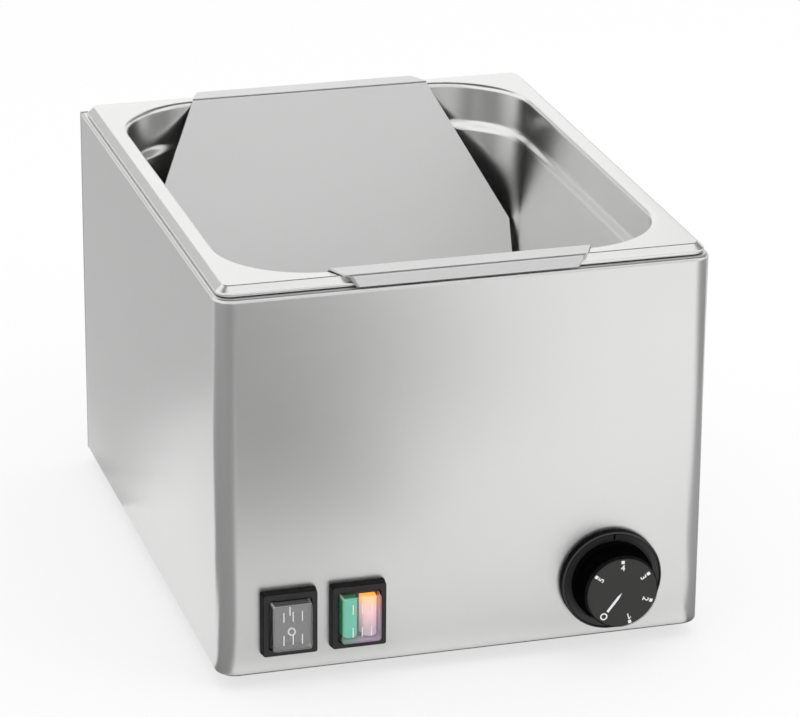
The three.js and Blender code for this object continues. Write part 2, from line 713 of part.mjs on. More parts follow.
// Thermostat: its can stands behind the front panel on two screws, its spindle comes out through the panel
const THERMOSTAT_WIDTH = 40;
const THERMOSTAT_DEPTH = 28;
const THERMOSTAT_CHAMFER = 5;
const THERMOSTAT_PLATE = 1.2;
const THERMOSTAT_PLATE_MARGIN = 2;
const SPINDLE_RADIUS = 3;
const SPINDLE_FLAT = 1;
const PANEL_HOLE_CLEARANCE = 1.5;
const PANEL_SCREW_RADIUS = 2;
const PANEL_SCREW_HEAD = 3.4;
const PANEL_SCREW_HEAD_HEIGHT = 1.8;
const PANEL_SCREW_SPACING = 28;
const PANEL_SCREW_LENGTH = 5;
const SPINDLE_INSIDE = -SHEET - THERMOSTAT_DEPTH / 3;

function panelScrewPlaces() {
  return [-1, 1].map((side) => [KNOB_X + side * PANEL_SCREW_SPACING / 2, KNOB_Z]);
}

// The control panel's groups are turned so that their own +Z comes out of the front panel.
function onPanel(x, z, ...pieces) {
  const group = new THREE.Group();
  group.position.set(x, FRONT, z);
  group.rotation.x = Math.PI / 2;
  group.add(...pieces);
  return group;
}

function makeThermostatBody() {
  const front = -SHEET - FIT;
  const back = front - THERMOSTAT_DEPTH;
  const halfX = THERMOSTAT_WIDTH / 2;
  const halfY = THERMOSTAT_HEIGHT / 2;
  const shoulder = halfX - THERMOSTAT_CHAMFER;
  const flank = halfY - THERMOSTAT_CHAMFER;
  const can = prism([
    [-shoulder, -halfY],
    [shoulder, -halfY],
    [halfX, -flank],
    [halfX, flank],
    [shoulder, halfY],
    [-shoulder, halfY],
    [-halfX, flank],
    [-halfX, -flank],
  ], back, front - THERMOSTAT_PLATE / 2);
  const plateWidth = THERMOSTAT_WIDTH + 2 * THERMOSTAT_PLATE_MARGIN;
  const plate = block(0, 0, plateWidth, THERMOSTAT_HEIGHT, front - THERMOSTAT_PLATE, front);
  const screwHoles = [-1, 1].map((side) => post(
    side * PANEL_SCREW_SPACING / 2,
    0,
    PANEL_SCREW_RADIUS + FIT,
    front - PANEL_SCREW_LENGTH - FIT,
    OVERRUN,
    SCREW_SIDES,
  ));
  const spindleHole = post(0, 0, SPINDLE_RADIUS + FIT, SPINDLE_INSIDE - FIT, OVERRUN);
  return cut(join(can, plate), spindleHole, ...screwHoles);
}

function makeSpindle() {
  const top = KNOB_REACH - KNOB_FACE - FIT;
  const across = SPINDLE_RADIUS * 2;
  const flatTool = block(0, across - SPINDLE_FLAT, across * 2, across, RING_FLOOR + FIT, top + OVERRUN);
  return cut(post(0, 0, SPINDLE_RADIUS, SPINDLE_INSIDE, top), flatTool);
}

function makePanelScrew(side) {
  return turned([
    [0, -SHEET - PANEL_SCREW_LENGTH],
    [PANEL_SCREW_RADIUS, -SHEET - PANEL_SCREW_LENGTH],
    [PANEL_SCREW_RADIUS, FIT],
    [PANEL_SCREW_HEAD, FIT],
    [PANEL_SCREW_HEAD, FIT + PANEL_SCREW_HEAD_HEIGHT / 2],
    [PANEL_SCREW_HEAD / 2, FIT + PANEL_SCREW_HEAD_HEIGHT],
    [0, FIT + PANEL_SCREW_HEAD_HEIGHT],
  ], SCREW_SIDES).translate(side * PANEL_SCREW_SPACING / 2, 0, 0);
}

// Knob ring: a moulded bezel clipped over the thermostat's screws. Its rim is bevelled outside, its face
// falls towards the knob, and a notch in the rim is the index.
const RING_HEIGHT = 5;
const RING_EDGE_HEIGHT = 4;
const RING_BEVEL = 0.7;
const RING_CREST = 0.4;
const RING_GROOVE = 0.5;
const RING_FALL = 1.3;
const RING_FLOOR = 3;
const RING_SIDES = 40;
const RING_INDEX_WIDTH = 0.9;
const RING_INDEX_LENGTH = 2.4;
const RING_INDEX_DEPTH = 1;
const KNOB_GAP = 0.8;

function makeKnobRing() {
  const well = KNOB_BASE_RADIUS + KNOB_GAP;
  const bore = SPINDLE_RADIUS + PANEL_HOLE_CLEARANCE;
  const crest = RING_RADIUS - RING_BEVEL;
  const face = crest - RING_CREST - RING_GROOVE;
  const body = turned([
    [bore, FIT],
    [RING_RADIUS, FIT],
    [RING_RADIUS, RING_EDGE_HEIGHT],
    [crest, RING_HEIGHT],
    [crest - RING_CREST, RING_HEIGHT],
    [face, RING_HEIGHT - RING_GROOVE],
    [well, RING_HEIGHT - RING_FALL],
    [well, RING_FLOOR],
    [bore, RING_FLOOR],
    [bore, FIT],
  ], RING_SIDES);
  const index = block(
    0,
    face - RING_INDEX_LENGTH / 2,
    RING_INDEX_WIDTH,
    RING_INDEX_LENGTH,
    RING_HEIGHT - RING_GROOVE - RING_INDEX_DEPTH,
    RING_HEIGHT + OVERRUN,
  );
  const pockets = [-1, 1].map((side) => post(
    side * PANEL_SCREW_SPACING / 2,
    0,
    PANEL_SCREW_HEAD + FIT,
    -OVERRUN,
    FIT * 2 + PANEL_SCREW_HEAD_HEIGHT,
    SCREW_SIDES,
  ));
  return cut(body, index, ...pockets);
}

// Temperature knob: a moulded cap, fluted round its side, with a bossed socket for the spindle
const KNOB_BASE_RADIUS = 21.6;
const KNOB_FACE_RADIUS = 20.3;
const KNOB_FACE = 2.5;
const KNOB_EDGE = 1;
const KNOB_WALL = 2;
const KNOB_FLUTE = 0.5;
const KNOB_FLUTES = 40;
const KNOB_BOSS_RADIUS = 6;
const KNOB_SKIRT = 1.5;

function circle(radius, z, depth = 0) {
  return Array.from({ length: KNOB_FLUTES * 2 }, (_, at) => {
    const angle = at * Math.PI / KNOB_FLUTES;
    const reach = radius - (at % 2) * depth;
    return new THREE.Vector3(reach * Math.cos(angle), reach * Math.sin(angle), z);
  });
}

function makeKnob() {
  const low = RING_FLOOR + KNOB_GAP;
  const skirtTop = RING_HEIGHT + KNOB_SKIRT;
  const inside = KNOB_BASE_RADIUS - KNOB_WALL;
  const shell = loft([
    circle(KNOB_BASE_RADIUS, low),
    circle(KNOB_BASE_RADIUS, RING_HEIGHT + KNOB_GAP),
    circle(KNOB_BASE_RADIUS - KNOB_EDGE / 2, skirtTop, KNOB_FLUTE),
    circle(KNOB_FACE_RADIUS, KNOB_REACH - KNOB_EDGE, KNOB_FLUTE),
    circle(KNOB_FACE_RADIUS - KNOB_EDGE / 2, KNOB_REACH - KNOB_EDGE / 4),
    circle(KNOB_FACE_RADIUS - KNOB_EDGE, KNOB_REACH),
  ]);
  const narrow = KNOB_FACE_RADIUS - KNOB_WALL - KNOB_FLUTE;
  const hollow = post(0, 0, inside, low - OVERRUN, KNOB_REACH - KNOB_FACE, RING_SIDES, narrow);
  const boss = post(0, 0, KNOB_BOSS_RADIUS, low, KNOB_REACH - KNOB_FACE / 2, RING_SIDES / 2);
  const bore = SPINDLE_RADIUS + FIT;
  const socket = cut(
    post(0, 0, bore, low - OVERRUN, KNOB_REACH - KNOB_FACE),
    block(0, bore * 2 - SPINDLE_FLAT, bore * 3, bore * 2, low - OVERRUN * 2, KNOB_REACH),
  );
  return cut(join(cut(shell, hollow), boss), socket);
}

// Switch housings: the rocker and the lamp share one cut-out, cover and frame
const SWITCH_CUT_WIDTH = 22;
const SWITCH_CUT_HEIGHT = 28;
const HOUSING_FLANGE = 1.5;
const HOUSING_FLANGE_MARGIN = 1.5;
const HOUSING_DEPTH = 24;
const HOUSING_WALL = 1.2;
const HOUSING_HALF_X = SWITCH_CUT_WIDTH / 2 - FIT;
const HOUSING_HALF_Y = SWITCH_CUT_HEIGHT / 2 - FIT;
const HOUSING_CORNER = 1;
const TERMINAL_WIDTH = 6.3;
const TERMINAL_THICKNESS = 0.8;
const TERMINAL_LENGTH = 9;
const TERMINAL_X = 5.5;
const TERMINAL_Y = 7;

function makeHousingBlank() {
  const flangeX = SWITCH_CUT_WIDTH / 2 + HOUSING_FLANGE_MARGIN;
  const flangeY = SWITCH_CUT_HEIGHT / 2 + HOUSING_FLANGE_MARGIN;
  return loft([
    smallRing(HOUSING_HALF_X - HOUSING_WALL, HOUSING_HALF_Y - HOUSING_WALL, HOUSING_CORNER, -HOUSING_DEPTH),
    smallRing(HOUSING_HALF_X, HOUSING_HALF_Y, HOUSING_CORNER, HOUSING_WALL - HOUSING_DEPTH),
    smallRing(HOUSING_HALF_X, HOUSING_HALF_Y, HOUSING_CORNER, FIT),
    smallRing(flangeX, flangeY, HOUSING_CORNER, FIT),
    smallRing(flangeX, flangeY, HOUSING_CORNER, HOUSING_FLANGE),
  ]);
}

function makeBladeTerminal(x, y) {
  const root = -HOUSING_DEPTH - FIT;
  return block(x, y, TERMINAL_WIDTH, TERMINAL_THICKNESS, root - TERMINAL_LENGTH, root);
}

// Cover frame: a moulded hoop with a foot, a drawn-in front and a recess behind for the two flanges
const FRAME_WIDTH = 30.4;
const FRAME_DEPTH = 5.5;
const FRAME_DRAFT = 0.5;
const FRAME_BEVEL = 0.3;
const FRAME_CORNER = 1.8;
const FRAME_RECESS = 2.9;
const WINDOW_WIDTH = 23;
const WINDOW_HEIGHT = 28;
const WINDOW_CORNER = 1.5;

function makeCoverFrame() {
  const halfX = FRAME_WIDTH / 2;
  const halfY = FRAME_HEIGHT / 2;
  const windowX = WINDOW_WIDTH / 2;
  const windowY = WINDOW_HEIGHT / 2;
  const recessX = SWITCH_CUT_WIDTH / 2 + HOUSING_FLANGE_MARGIN + FIT;
  const recessY = SWITCH_CUT_HEIGHT / 2 + HOUSING_FLANGE_MARGIN + FIT;
  const front = FRAME_DRAFT + FRAME_BEVEL;
  return loft([
    smallRing(recessX, recessY, WINDOW_CORNER, FIT),
    smallRing(halfX, halfY, FRAME_CORNER, FIT),
    smallRing(halfX - FRAME_DRAFT, halfY - FRAME_DRAFT, FRAME_CORNER, FRAME_DEPTH - FRAME_BEVEL),
    smallRing(halfX - front, halfY - front, FRAME_CORNER - FRAME_BEVEL, FRAME_DEPTH),
    smallRing(windowX, windowY, WINDOW_CORNER, FRAME_DEPTH),
    smallRing(windowX, windowY, WINDOW_CORNER, FRAME_RECESS),
    smallRing(recessX, recessY, WINDOW_CORNER, FRAME_RECESS),
  ], true);
}

// Splash cover: a clear blown cap, its flange trapped under the frame, with short ribs on its front
const COVER_REACH = 11;
const COVER_WALL = 0.7;
const COVER_DRAFT = 0.6;
const COVER_EDGE = 0.5;
const COVER_FLANGE_FROM = HOUSING_FLANGE + FIT;
const COVER_FLANGE_TO = FRAME_RECESS - FIT;
const COVER_HALF_X = WINDOW_WIDTH / 2 - FIT;
const COVER_HALF_Y = WINDOW_HEIGHT / 2 - FIT;
const COVER_RIB_WIDTH = 0.7;
const COVER_RIB_LENGTH = 5;
const COVER_RIB_RISE = 0.3;
const COVER_RIB_PITCH = 5;
const COVER_RIB_Y = 7.5;

function makeSplashCover() {
  const flangeX = SWITCH_CUT_WIDTH / 2 + HOUSING_FLANGE_MARGIN;
  const flangeY = SWITCH_CUT_HEIGHT / 2 + HOUSING_FLANGE_MARGIN;
  const wall = (inset, z) => smallRing(COVER_HALF_X - inset, COVER_HALF_Y - inset, WINDOW_CORNER, z);
  const front = COVER_REACH - COVER_RIB_RISE;
  const shell = loft([
    smallRing(flangeX, flangeY, WINDOW_CORNER, COVER_FLANGE_FROM),
    smallRing(flangeX, flangeY, WINDOW_CORNER, COVER_FLANGE_TO),
    wall(0, COVER_FLANGE_TO),
    wall(COVER_DRAFT, front - COVER_EDGE),
    wall(COVER_DRAFT + COVER_EDGE / 3, front - COVER_EDGE / 3),
    wall(COVER_DRAFT + COVER_EDGE, front),
  ]);
  const hollow = loft([
    wall(COVER_WALL, COVER_FLANGE_FROM - OVERRUN),
    wall(COVER_WALL + COVER_DRAFT, front - COVER_WALL - COVER_EDGE),
    wall(COVER_WALL + COVER_DRAFT + COVER_EDGE / 2, front - COVER_WALL),
  ]);
  const ribs = [-1, 0, 1].flatMap((column) => [-1, 1].map((row) => block(
    column * COVER_RIB_PITCH,
    row * COVER_RIB_Y,
    COVER_RIB_WIDTH,
    COVER_RIB_LENGTH,
    front - COVER_WALL / 2,
    COVER_REACH,
  )));
  return join(cut(shell, hollow), ...ribs);
}

// Rocker: a shallow V that rocks on a steel pin behind the panel's face. At rest its upper half is in.
const ROCKER_HALF_WIDTH = 9.5;
const ROCKER_HALF_HEIGHT = 11.3;
const ROCKER_TILT = THREE.MathUtils.degToRad(10);
const ROCKER_CENTRE = 4.6;
const ROCKER_LIP = 2.4;
const ROCKER_WEB_DEPTH = 3.5;
const ROCKER_WEB_HALF = 5;
const ROCKER_PIN_RADIUS = 1.2;
const ROCKER_POCKET_DEPTH = 7;
const ROCKER_AXIS_DEPTH = 1.6;
const ROCKER_PIN_LENGTH = SWITCH_CUT_WIDTH - 2 * FIT - HOUSING_WALL;

// A cylinder along X through the rocker's axis.
function pivot(radius, length) {
  return new THREE.CylinderGeometry(radius, radius, length, SCREW_SIDES).rotateZ(Math.PI / 2);
}

function makeRockerHousing() {
  const pocketWidth = 2 * (HOUSING_HALF_X - HOUSING_WALL);
  const pocketHeight = 2 * HOUSING_HALF_Y - HOUSING_WALL;
  const pocket = block(0, 0, pocketWidth, pocketHeight, -ROCKER_POCKET_DEPTH, OVERRUN);
  const bore = pivot(ROCKER_PIN_RADIUS + FIT, ROCKER_PIN_LENGTH + 2 * FIT);
  return cut(makeHousingBlank(), pocket, bore.translate(0, 0, -ROCKER_AXIS_DEPTH));
}

function makeRockerPaddle() {
  const tip = ROCKER_CENTRE + ROCKER_HALF_HEIGHT * Math.tan(ROCKER_TILT);
  const side = [
    [0, ROCKER_CENTRE],
    [ROCKER_HALF_HEIGHT, tip],
    [ROCKER_HALF_HEIGHT, tip - ROCKER_LIP],
    [ROCKER_WEB_HALF, -ROCKER_WEB_DEPTH],
    [-ROCKER_WEB_HALF, -ROCKER_WEB_DEPTH],
    [-ROCKER_HALF_HEIGHT, tip - ROCKER_LIP],
    [-ROCKER_HALF_HEIGHT, tip],
  ].map(([height, out]) => new THREE.Vector2(height, out));
  const body = acrossX(new THREE.Shape(side), ROCKER_HALF_WIDTH * 2);
  const bore = pivot(ROCKER_PIN_RADIUS + FIT, ROCKER_HALF_WIDTH * 2 + OVERRUN);
  return cut(body, bore).rotateX(-ROCKER_TILT).translate(0, 0, -ROCKER_AXIS_DEPTH);
}

function makeRockerPin() {
  return pivot(ROCKER_PIN_RADIUS, ROCKER_PIN_LENGTH).translate(0, 0, -ROCKER_AXIS_DEPTH);
}

// Indicator lamp: two convex lenses side by side in the front of one housing
const LENS_WIDTH = 8.7;
const LENS_GAP = 2;
const LENS_HALF_HEIGHT = 11;
const LENS_REACH = 8;
const LENS_BULGE = 2;
const LENS_POCKET = 3;
const LENS_X = (LENS_WIDTH + LENS_GAP) / 2;

function makeLampHousing() {
  const pocketWidth = LENS_WIDTH + 2 * FIT;
  const pocketHeight = 2 * (LENS_HALF_HEIGHT + FIT);
  const pocketFloor = HOUSING_FLANGE - LENS_POCKET;
  const pockets = [-1, 1].map((side) => block(
    side * LENS_X,
    0,
    pocketWidth,
    pocketHeight,
    pocketFloor,
    OVERRUN,
  ));
  return cut(makeHousingBlank(), ...pockets);
}

function makeLens(side) {
  const half = LENS_WIDTH / 2;
  const base = HOUSING_FLANGE - LENS_POCKET + FIT;
  const radius = (half * half + LENS_BULGE * LENS_BULGE) / (2 * LENS_BULGE);
  const spread = Math.asin(half / radius);
  const shape = new THREE.Shape();
  shape.moveTo(-half, base);
  shape.lineTo(half, base);
  shape.absarc(0, LENS_REACH - radius, radius, Math.PI / 2 - spread, Math.PI / 2 + spread);
  const depth = LENS_HALF_HEIGHT * 2;
  return new THREE.ExtrudeGeometry(shape, { depth, bevelEnabled: false, curveSegments: 5 })
    .rotateX(Math.PI / 2)
    .translate(side * LENS_X, LENS_HALF_HEIGHT, 0);
}

// Supply: terminal block and earth stud on the bottom plate, and the gland in the rear panel
const GLAND_FROM_SIDE = 54.5;
const GLAND_X = CASE_WIDTH / 2 - GLAND_FROM_SIDE;
const BLOCK_FROM_GLAND = 10;
const BLOCK_FROM_REAR = 48.5;
const BLOCK_X = GLAND_X - BLOCK_FROM_GLAND;
const BLOCK_Y = REAR - BLOCK_FROM_REAR;
const BLOCK_WIDTH = 32;
const BLOCK_DEPTH = 18;
const BLOCK_BASE = 6;
const BLOCK_HEIGHT = 15;
const BLOCK_POLES = 3;
const BLOCK_POLE_WIDTH = 8;
const BLOCK_SCREW_RADIUS = 2;
const EARTH_FROM_BLOCK = 46;
const EARTH_FROM_REAR = 36.5;
const EARTH_X = BLOCK_X - EARTH_FROM_BLOCK;
const EARTH_Y = REAR - EARTH_FROM_REAR;
const EARTH_RADIUS = 2;
const EARTH_HEIGHT = 14;
const EARTH_HEAD_RADIUS = 3.5;
const EARTH_HEAD_HEIGHT = 0.8;
const EARTH_NUT_FLATS = 7;
const EARTH_NUT_HEIGHT = 3.2;
const GLAND_SIDES = 20;
const GLAND_Z = 26;
const GLAND_THREAD_RADIUS = 9.5;
const GLAND_BORE_RADIUS = 4.5;
const GLAND_FLATS = 23;
const GLAND_HEX = 5;
const GLAND_THREAD_INSIDE = 9;
const GLAND_CAP_WALL = 2;
const GLAND_CAP_NOSE = 7;
const GLAND_NUT = 5;

function makeTerminalBlock() {
  const floor = SHEET * 2;
  const pitch = (BLOCK_WIDTH - BLOCK_POLE_WIDTH) / (BLOCK_POLES - 1);
  const base = block(BLOCK_X, BLOCK_Y, BLOCK_WIDTH, BLOCK_DEPTH, floor, floor + BLOCK_BASE);
  const top = floor + BLOCK_HEIGHT;
  const places = Array.from(
    { length: BLOCK_POLES },
    (_, pole) => BLOCK_X + (pole - (BLOCK_POLES - 1) / 2) * pitch,
  );
  const poleDepth = BLOCK_DEPTH - BLOCK_SCREW_RADIUS;
  const poles = places.map((x) => block(x, BLOCK_Y, BLOCK_POLE_WIDTH, poleDepth, floor, top));
  const wells = places.map((x) => post(
    x,
    BLOCK_Y,
    BLOCK_SCREW_RADIUS,
    floor + BLOCK_BASE,
    top + OVERRUN,
    SCREW_SIDES,
  ));
  return cut(join(base, ...poles), ...wells);
}

function makeEarthStud() {
  return turned([
    [0, SHEET - EARTH_HEAD_HEIGHT],
    [EARTH_HEAD_RADIUS, SHEET - EARTH_HEAD_HEIGHT],
    [EARTH_HEAD_RADIUS, SHEET],
    [EARTH_RADIUS, SHEET],
    [EARTH_RADIUS, SHEET + EARTH_HEIGHT],
    [0, SHEET + EARTH_HEIGHT],
  ], SCREW_SIDES).translate(EARTH_X, EARTH_Y, 0);
}

function makeEarthNut() {
  const floor = SHEET * 2;
  const top = floor + EARTH_NUT_HEIGHT;
  const nut = prism(hexagon(EARTH_NUT_FLATS), floor, top).translate(EARTH_X, EARTH_Y, 0);
  return cut(nut, post(EARTH_X, EARTH_Y, EARTH_RADIUS + FIT / 2, -OVERRUN, top + OVERRUN, SCREW_SIDES));
}

// A hexagon along Y, for the gland's flats and locknut.
function hexAlongY(acrossFlats, from, to) {
  return prism(hexagon(acrossFlats), from, to)
    .rotateX(-Math.PI / 2)
    .translate(GLAND_X, 0, GLAND_Z);
}

function glandBore() {
  const from = REAR - SEAM_WIDTH * 2;
  return pin(GLAND_X, GLAND_Z, GLAND_BORE_RADIUS, from, REAR + GLAND_REACH + OVERRUN, GLAND_SIDES);
}

function makeGlandBody() {
  const threadStart = PANEL_INSIDE - GLAND_THREAD_INSIDE;
  const threadEnd = REAR + GLAND_REACH - GLAND_CAP_NOSE;
  const thread = pin(GLAND_X, GLAND_Z, GLAND_THREAD_RADIUS, threadStart, threadEnd, GLAND_SIDES);
  return cut(join(thread, hexAlongY(GLAND_FLATS, REAR, REAR + GLAND_HEX)), glandBore());
}

function makeGlandCap() {
  const start = REAR + GLAND_HEX + FIT;
  const end = REAR + GLAND_REACH;
  const inner = GLAND_THREAD_RADIUS + FIT;
  const outer = inner + GLAND_CAP_WALL;
  const shelf = end - GLAND_CAP_NOSE + FIT;
  const profile = [
    [inner, start],
    [outer, start],
    [outer, end - GLAND_CAP_NOSE],
    [outer - GLAND_CAP_WALL, end - GLAND_CAP_WALL],
    [GLAND_BORE_RADIUS + GLAND_CAP_WALL, end],
    [GLAND_BORE_RADIUS, end],
    [GLAND_BORE_RADIUS, shelf],
    [inner, shelf],
    [inner, start],
  ].map(([radius, depth]) => new THREE.Vector2(radius, depth));
  return new THREE.LatheGeometry(profile, GLAND_SIDES).translate(GLAND_X, 0, GLAND_Z);
}

function makeGlandLocknut() {
  const nut = hexAlongY(GLAND_FLATS, PANEL_INSIDE - GLAND_NUT, PANEL_INSIDE);
  return cut(nut, pin(GLAND_X, GLAND_Z, GLAND_THREAD_RADIUS + FIT, 0, REAR + OVERRUN, GLAND_SIDES));
}

// Food pan: drawn sheet with a rolled rim, a flat flange, a stacking shoulder and drafted walls
const PAN_RIM_BEAD = 0.9;
const PAN_RIM_INSET = 4;
const PAN_FLANGE_CORNER = 10;
const PAN_SHOULDER_DEPTH = 25;
const PAN_SHOULDER_STEP = 3;
const PAN_DRAFT = 6;
const PAN_FLOOR_RADIUS = 18;
const PAN_FLOOR_STEPS = 4;

// The pan's inner skin as [inset from the opening's wall, depth under the flange, plan corner radius].
function panSkin(grow) {
  const wallBottom = PAN_DEPTH - PAN_SHEET - PAN_FLOOR_RADIUS;
  const step = PAN_SHOULDER_STEP;
  const draft = (depth) => PAN_DRAFT * (depth - PAN_SHOULDER_DEPTH) / (wallBottom - PAN_SHOULDER_DEPTH);
  const edge = TIGHT_BEND_SHARES.map((share) => {
    const angle = share * Math.PI / 2;
    const radius = PAN_EDGE_RADIUS - grow;
    return [-PAN_EDGE_RADIUS + radius * Math.sin(angle), PAN_EDGE_RADIUS - radius * Math.cos(angle)];
  });
  const walls = [
    [-grow, PAN_SHOULDER_DEPTH - step],
    [step / 2 - grow, PAN_SHOULDER_DEPTH - step / 4],
    [step - grow, PAN_SHOULDER_DEPTH + step],
  ];
  const floorInset = step + draft(wallBottom) + PAN_FLOOR_RADIUS;
  const floorShares = Array.from({ length: PAN_FLOOR_STEPS + 1 }, (_, at) => at / PAN_FLOOR_STEPS);
  const floor = floorShares.map((share) => {
    const angle = share * Math.PI / 2;
    const radius = PAN_FLOOR_RADIUS + grow;
    return [floorInset - radius * Math.cos(angle), wallBottom + radius * Math.sin(angle)];
  });
  return [...edge, ...walls, ...floor].map(([inset, depth]) => ring(
    PAN_HALF_X - inset, PAN_HALF_Y - inset, PAN_CORNER - inset, PAN_TOP - depth,
  ));
}

function makeFoodPan() {
  const halfX = PAN_WIDTH / 2;
  const halfY = PAN_LENGTH / 2;
  const brim = (inset, drop) => ring(
    halfX - inset,
    halfY - inset,
    Math.max(PAN_FLANGE_CORNER - inset, PAN_RIM_BEAD),
    PAN_TOP - drop,
  );
  const rim = [
    brim(PAN_RIM_INSET, PAN_SHEET),
    brim(PAN_RIM_INSET / 2 + PAN_SHEET / 2, PAN_SHEET * 2),
    brim(PAN_SHEET, PAN_RIM_DROP - PAN_RIM_BEAD * 2),
    brim(PAN_RIM_BEAD * 2, PAN_RIM_DROP - PAN_RIM_BEAD),
    brim(PAN_RIM_BEAD, PAN_RIM_DROP),
    brim(0, PAN_RIM_DROP - PAN_RIM_BEAD),
    brim(0, PAN_RIM_DROP - PAN_RIM_BEAD * 2),
    brim(PAN_RIM_INSET / 3, PAN_SHEET),
    brim(PAN_RIM_INSET, 0),
  ];
  return loft([...panSkin(PAN_SHEET).reverse(), ...rim, ...panSkin(0)]);
}

// Chip insert: a sheet folded into a trough with a perforated floor, hung over the pan's flange at both ends
const INSERT_ABOVE = 0.5;
const INSERT_SLOPE = THREE.MathUtils.degToRad(62.4);
const INSERT_BEND_INSIDE = 2;
const INSERT_BEND_Y = PAN_LENGTH / 2 - PAN_FLANGE - INSERT_BEND_INSIDE;
const INSERT_BEND_REACH = 1.4;
const INSERT_BEND_STEPS = 3;
const INSERT_HOOK_OUT = 1.3;
const INSERT_HOOK_SPREAD = 1.6;
const INSERT_HOOK_DROP = 5.3;
const INSERT_WIDE_DEPTH = 75;
const INSERT_HOOK_NARROWING = 6;
const INSERT_TIP_NARROWING = 11;
const INSERT_LIE = PAN_TOP + INSERT_ABOVE;
const INSERT_FLOOR = INSERT_LIE - INSERT_DEPTH;
const INSERT_FLOOR_Y = INSERT_BEND_Y - INSERT_DEPTH / Math.tan(INSERT_SLOPE);
const INSERT_WIDE_HALF = PAN_HALF_X - INSERT_SIDE_CLEARANCE;
const INSERT_TOP_HALF = INSERT_WIDE_HALF - INSERT_TOP_NARROWING;
const INSERT_FLOOR_HALF = INSERT_WIDE_HALF - INSERT_FLOOR_NARROWING;
const HOLE_RADIUS = 5;
const HOLE_SIDES = 8;
const HOLE_COLUMNS = 8;
const HOLE_ROWS = 6;
const HOLE_SIDE_MARGIN = 24;
const HOLE_END_MARGIN = 20.3;
const HOLE_PITCH_X = 2 * (INSERT_FLOOR_HALF - HOLE_SIDE_MARGIN) / (HOLE_COLUMNS - 1);
const HOLE_PITCH_Y = 2 * (INSERT_FLOOR_Y - HOLE_END_MARGIN) / (HOLE_ROWS - 1);

// A line whose inner corners give way to bends that start this far from each corner.
function bendCorners(line, reach, steps) {
  return line.flatMap((corner, at) => {
    if (at === 0 || at === line.length - 1) return [corner];
    const toward = (end) => end.clone().sub(corner).setLength(reach).add(corner);
    const bend = new THREE.QuadraticBezierCurve(toward(line[at - 1]), corner, toward(line[at + 1]));
    return bend.getPoints(steps);
  });
}

// The trough seen from the side, as the under face of the sheet from the front hook to the rear hook.
function insertProfile() {
  const hookY = PAN_LENGTH / 2 + INSERT_HOOK_OUT;
  const half = [
    [hookY + INSERT_HOOK_SPREAD, INSERT_LIE - INSERT_HOOK_DROP],
    [hookY, INSERT_LIE],
    [INSERT_BEND_Y, INSERT_LIE],
    [INSERT_FLOOR_Y, INSERT_FLOOR],
  ];
  const line = [...half.map(([y, z]) => [-y, z]), ...half.slice().reverse()];
  return bendCorners(line.map(([y, z]) => new THREE.Vector2(y, z)), INSERT_BEND_REACH, INSERT_BEND_STEPS);
}

// The same line moved square to itself by the sheet's thickness, mitred at its folds.
function thicken(line, thickness) {
  const directions = line.slice(1).map((point, at) => point.clone().sub(line[at]).normalize());
  return line.map((point, at) => {
    const before = directions[Math.max(at - 1, 0)];
    const after = directions[Math.min(at, directions.length - 1)];
    const mean = before.clone().add(after).normalize();
    const reach = thickness / mean.dot(after);
    return new THREE.Vector2(point.x - mean.y * reach, point.y + mean.x * reach);
  });
}

// The insert's outline seen from the front: wide at mid height, narrow between the two hooks.
function insertElevation() {
  const below = INSERT_FLOOR - OVERRUN;
  const above = INSERT_LIE + OVERRUN;
  const wide = INSERT_LIE - INSERT_WIDE_DEPTH;
  return prism([
    [-INSERT_FLOOR_HALF, below],
    [INSERT_FLOOR_HALF, below],
    [INSERT_WIDE_HALF, wide],
    [INSERT_TOP_HALF, INSERT_LIE],
    [INSERT_TOP_HALF, above],
    [-INSERT_TOP_HALF, above],
    [-INSERT_TOP_HALF, INSERT_LIE],
    [-INSERT_WIDE_HALF, wide],
  ], -PAN_LENGTH, PAN_LENGTH).rotateX(Math.PI / 2);
}

// The insert's outline seen from above: each hook narrows towards its tip.
function insertPlan() {
  const hookY = PAN_LENGTH / 2 + INSERT_HOOK_OUT;
  const tipY = hookY + INSERT_HOOK_SPREAD * 2;
  const hookHalf = INSERT_TOP_HALF - INSERT_HOOK_NARROWING;
  const tipHalf = INSERT_TOP_HALF - INSERT_TIP_NARROWING;
  const end = (side) => [
    [side * PAN_WIDTH / 2, side * INSERT_BEND_Y],
    [side * INSERT_TOP_HALF, side * INSERT_BEND_Y],
    [side * hookHalf, side * hookY],
    [side * tipHalf, side * tipY],
    [-side * tipHalf, side * tipY],
    [-side * hookHalf, side * hookY],
    [-side * INSERT_TOP_HALF, side * INSERT_BEND_Y],
    [-side * PAN_WIDTH / 2, side * INSERT_BEND_Y],
  ];
  return prism([...end(1), ...end(-1)], 0, PAN_TOP + OVERRUN);
}

function makeChipInsert() {
  const under = insertProfile();
  const over = thicken(under, INSERT_SHEET);
  const sheet = acrossX(new THREE.Shape([...under, ...over.reverse()]), PAN_WIDTH);
  const holes = [];
  for (let column = 0; column < HOLE_COLUMNS; column += 1) {
    for (let row = 0; row < HOLE_ROWS; row += 1) {
      const x = (column - (HOLE_COLUMNS - 1) / 2) * HOLE_PITCH_X;
      const y = (row - (HOLE_ROWS - 1) / 2) * HOLE_PITCH_Y;
      holes.push(post(x, y, HOLE_RADIUS, INSERT_FLOOR - OVERRUN, INSERT_FLOOR + OVERRUN, HOLE_SIDES));
    }
  }
  return cut(common(sheet, insertElevation(), insertPlan()), ...holes);
}

// Assembly
const chipWarmer = new THREE.Group();
const casing = new THREE.Group();

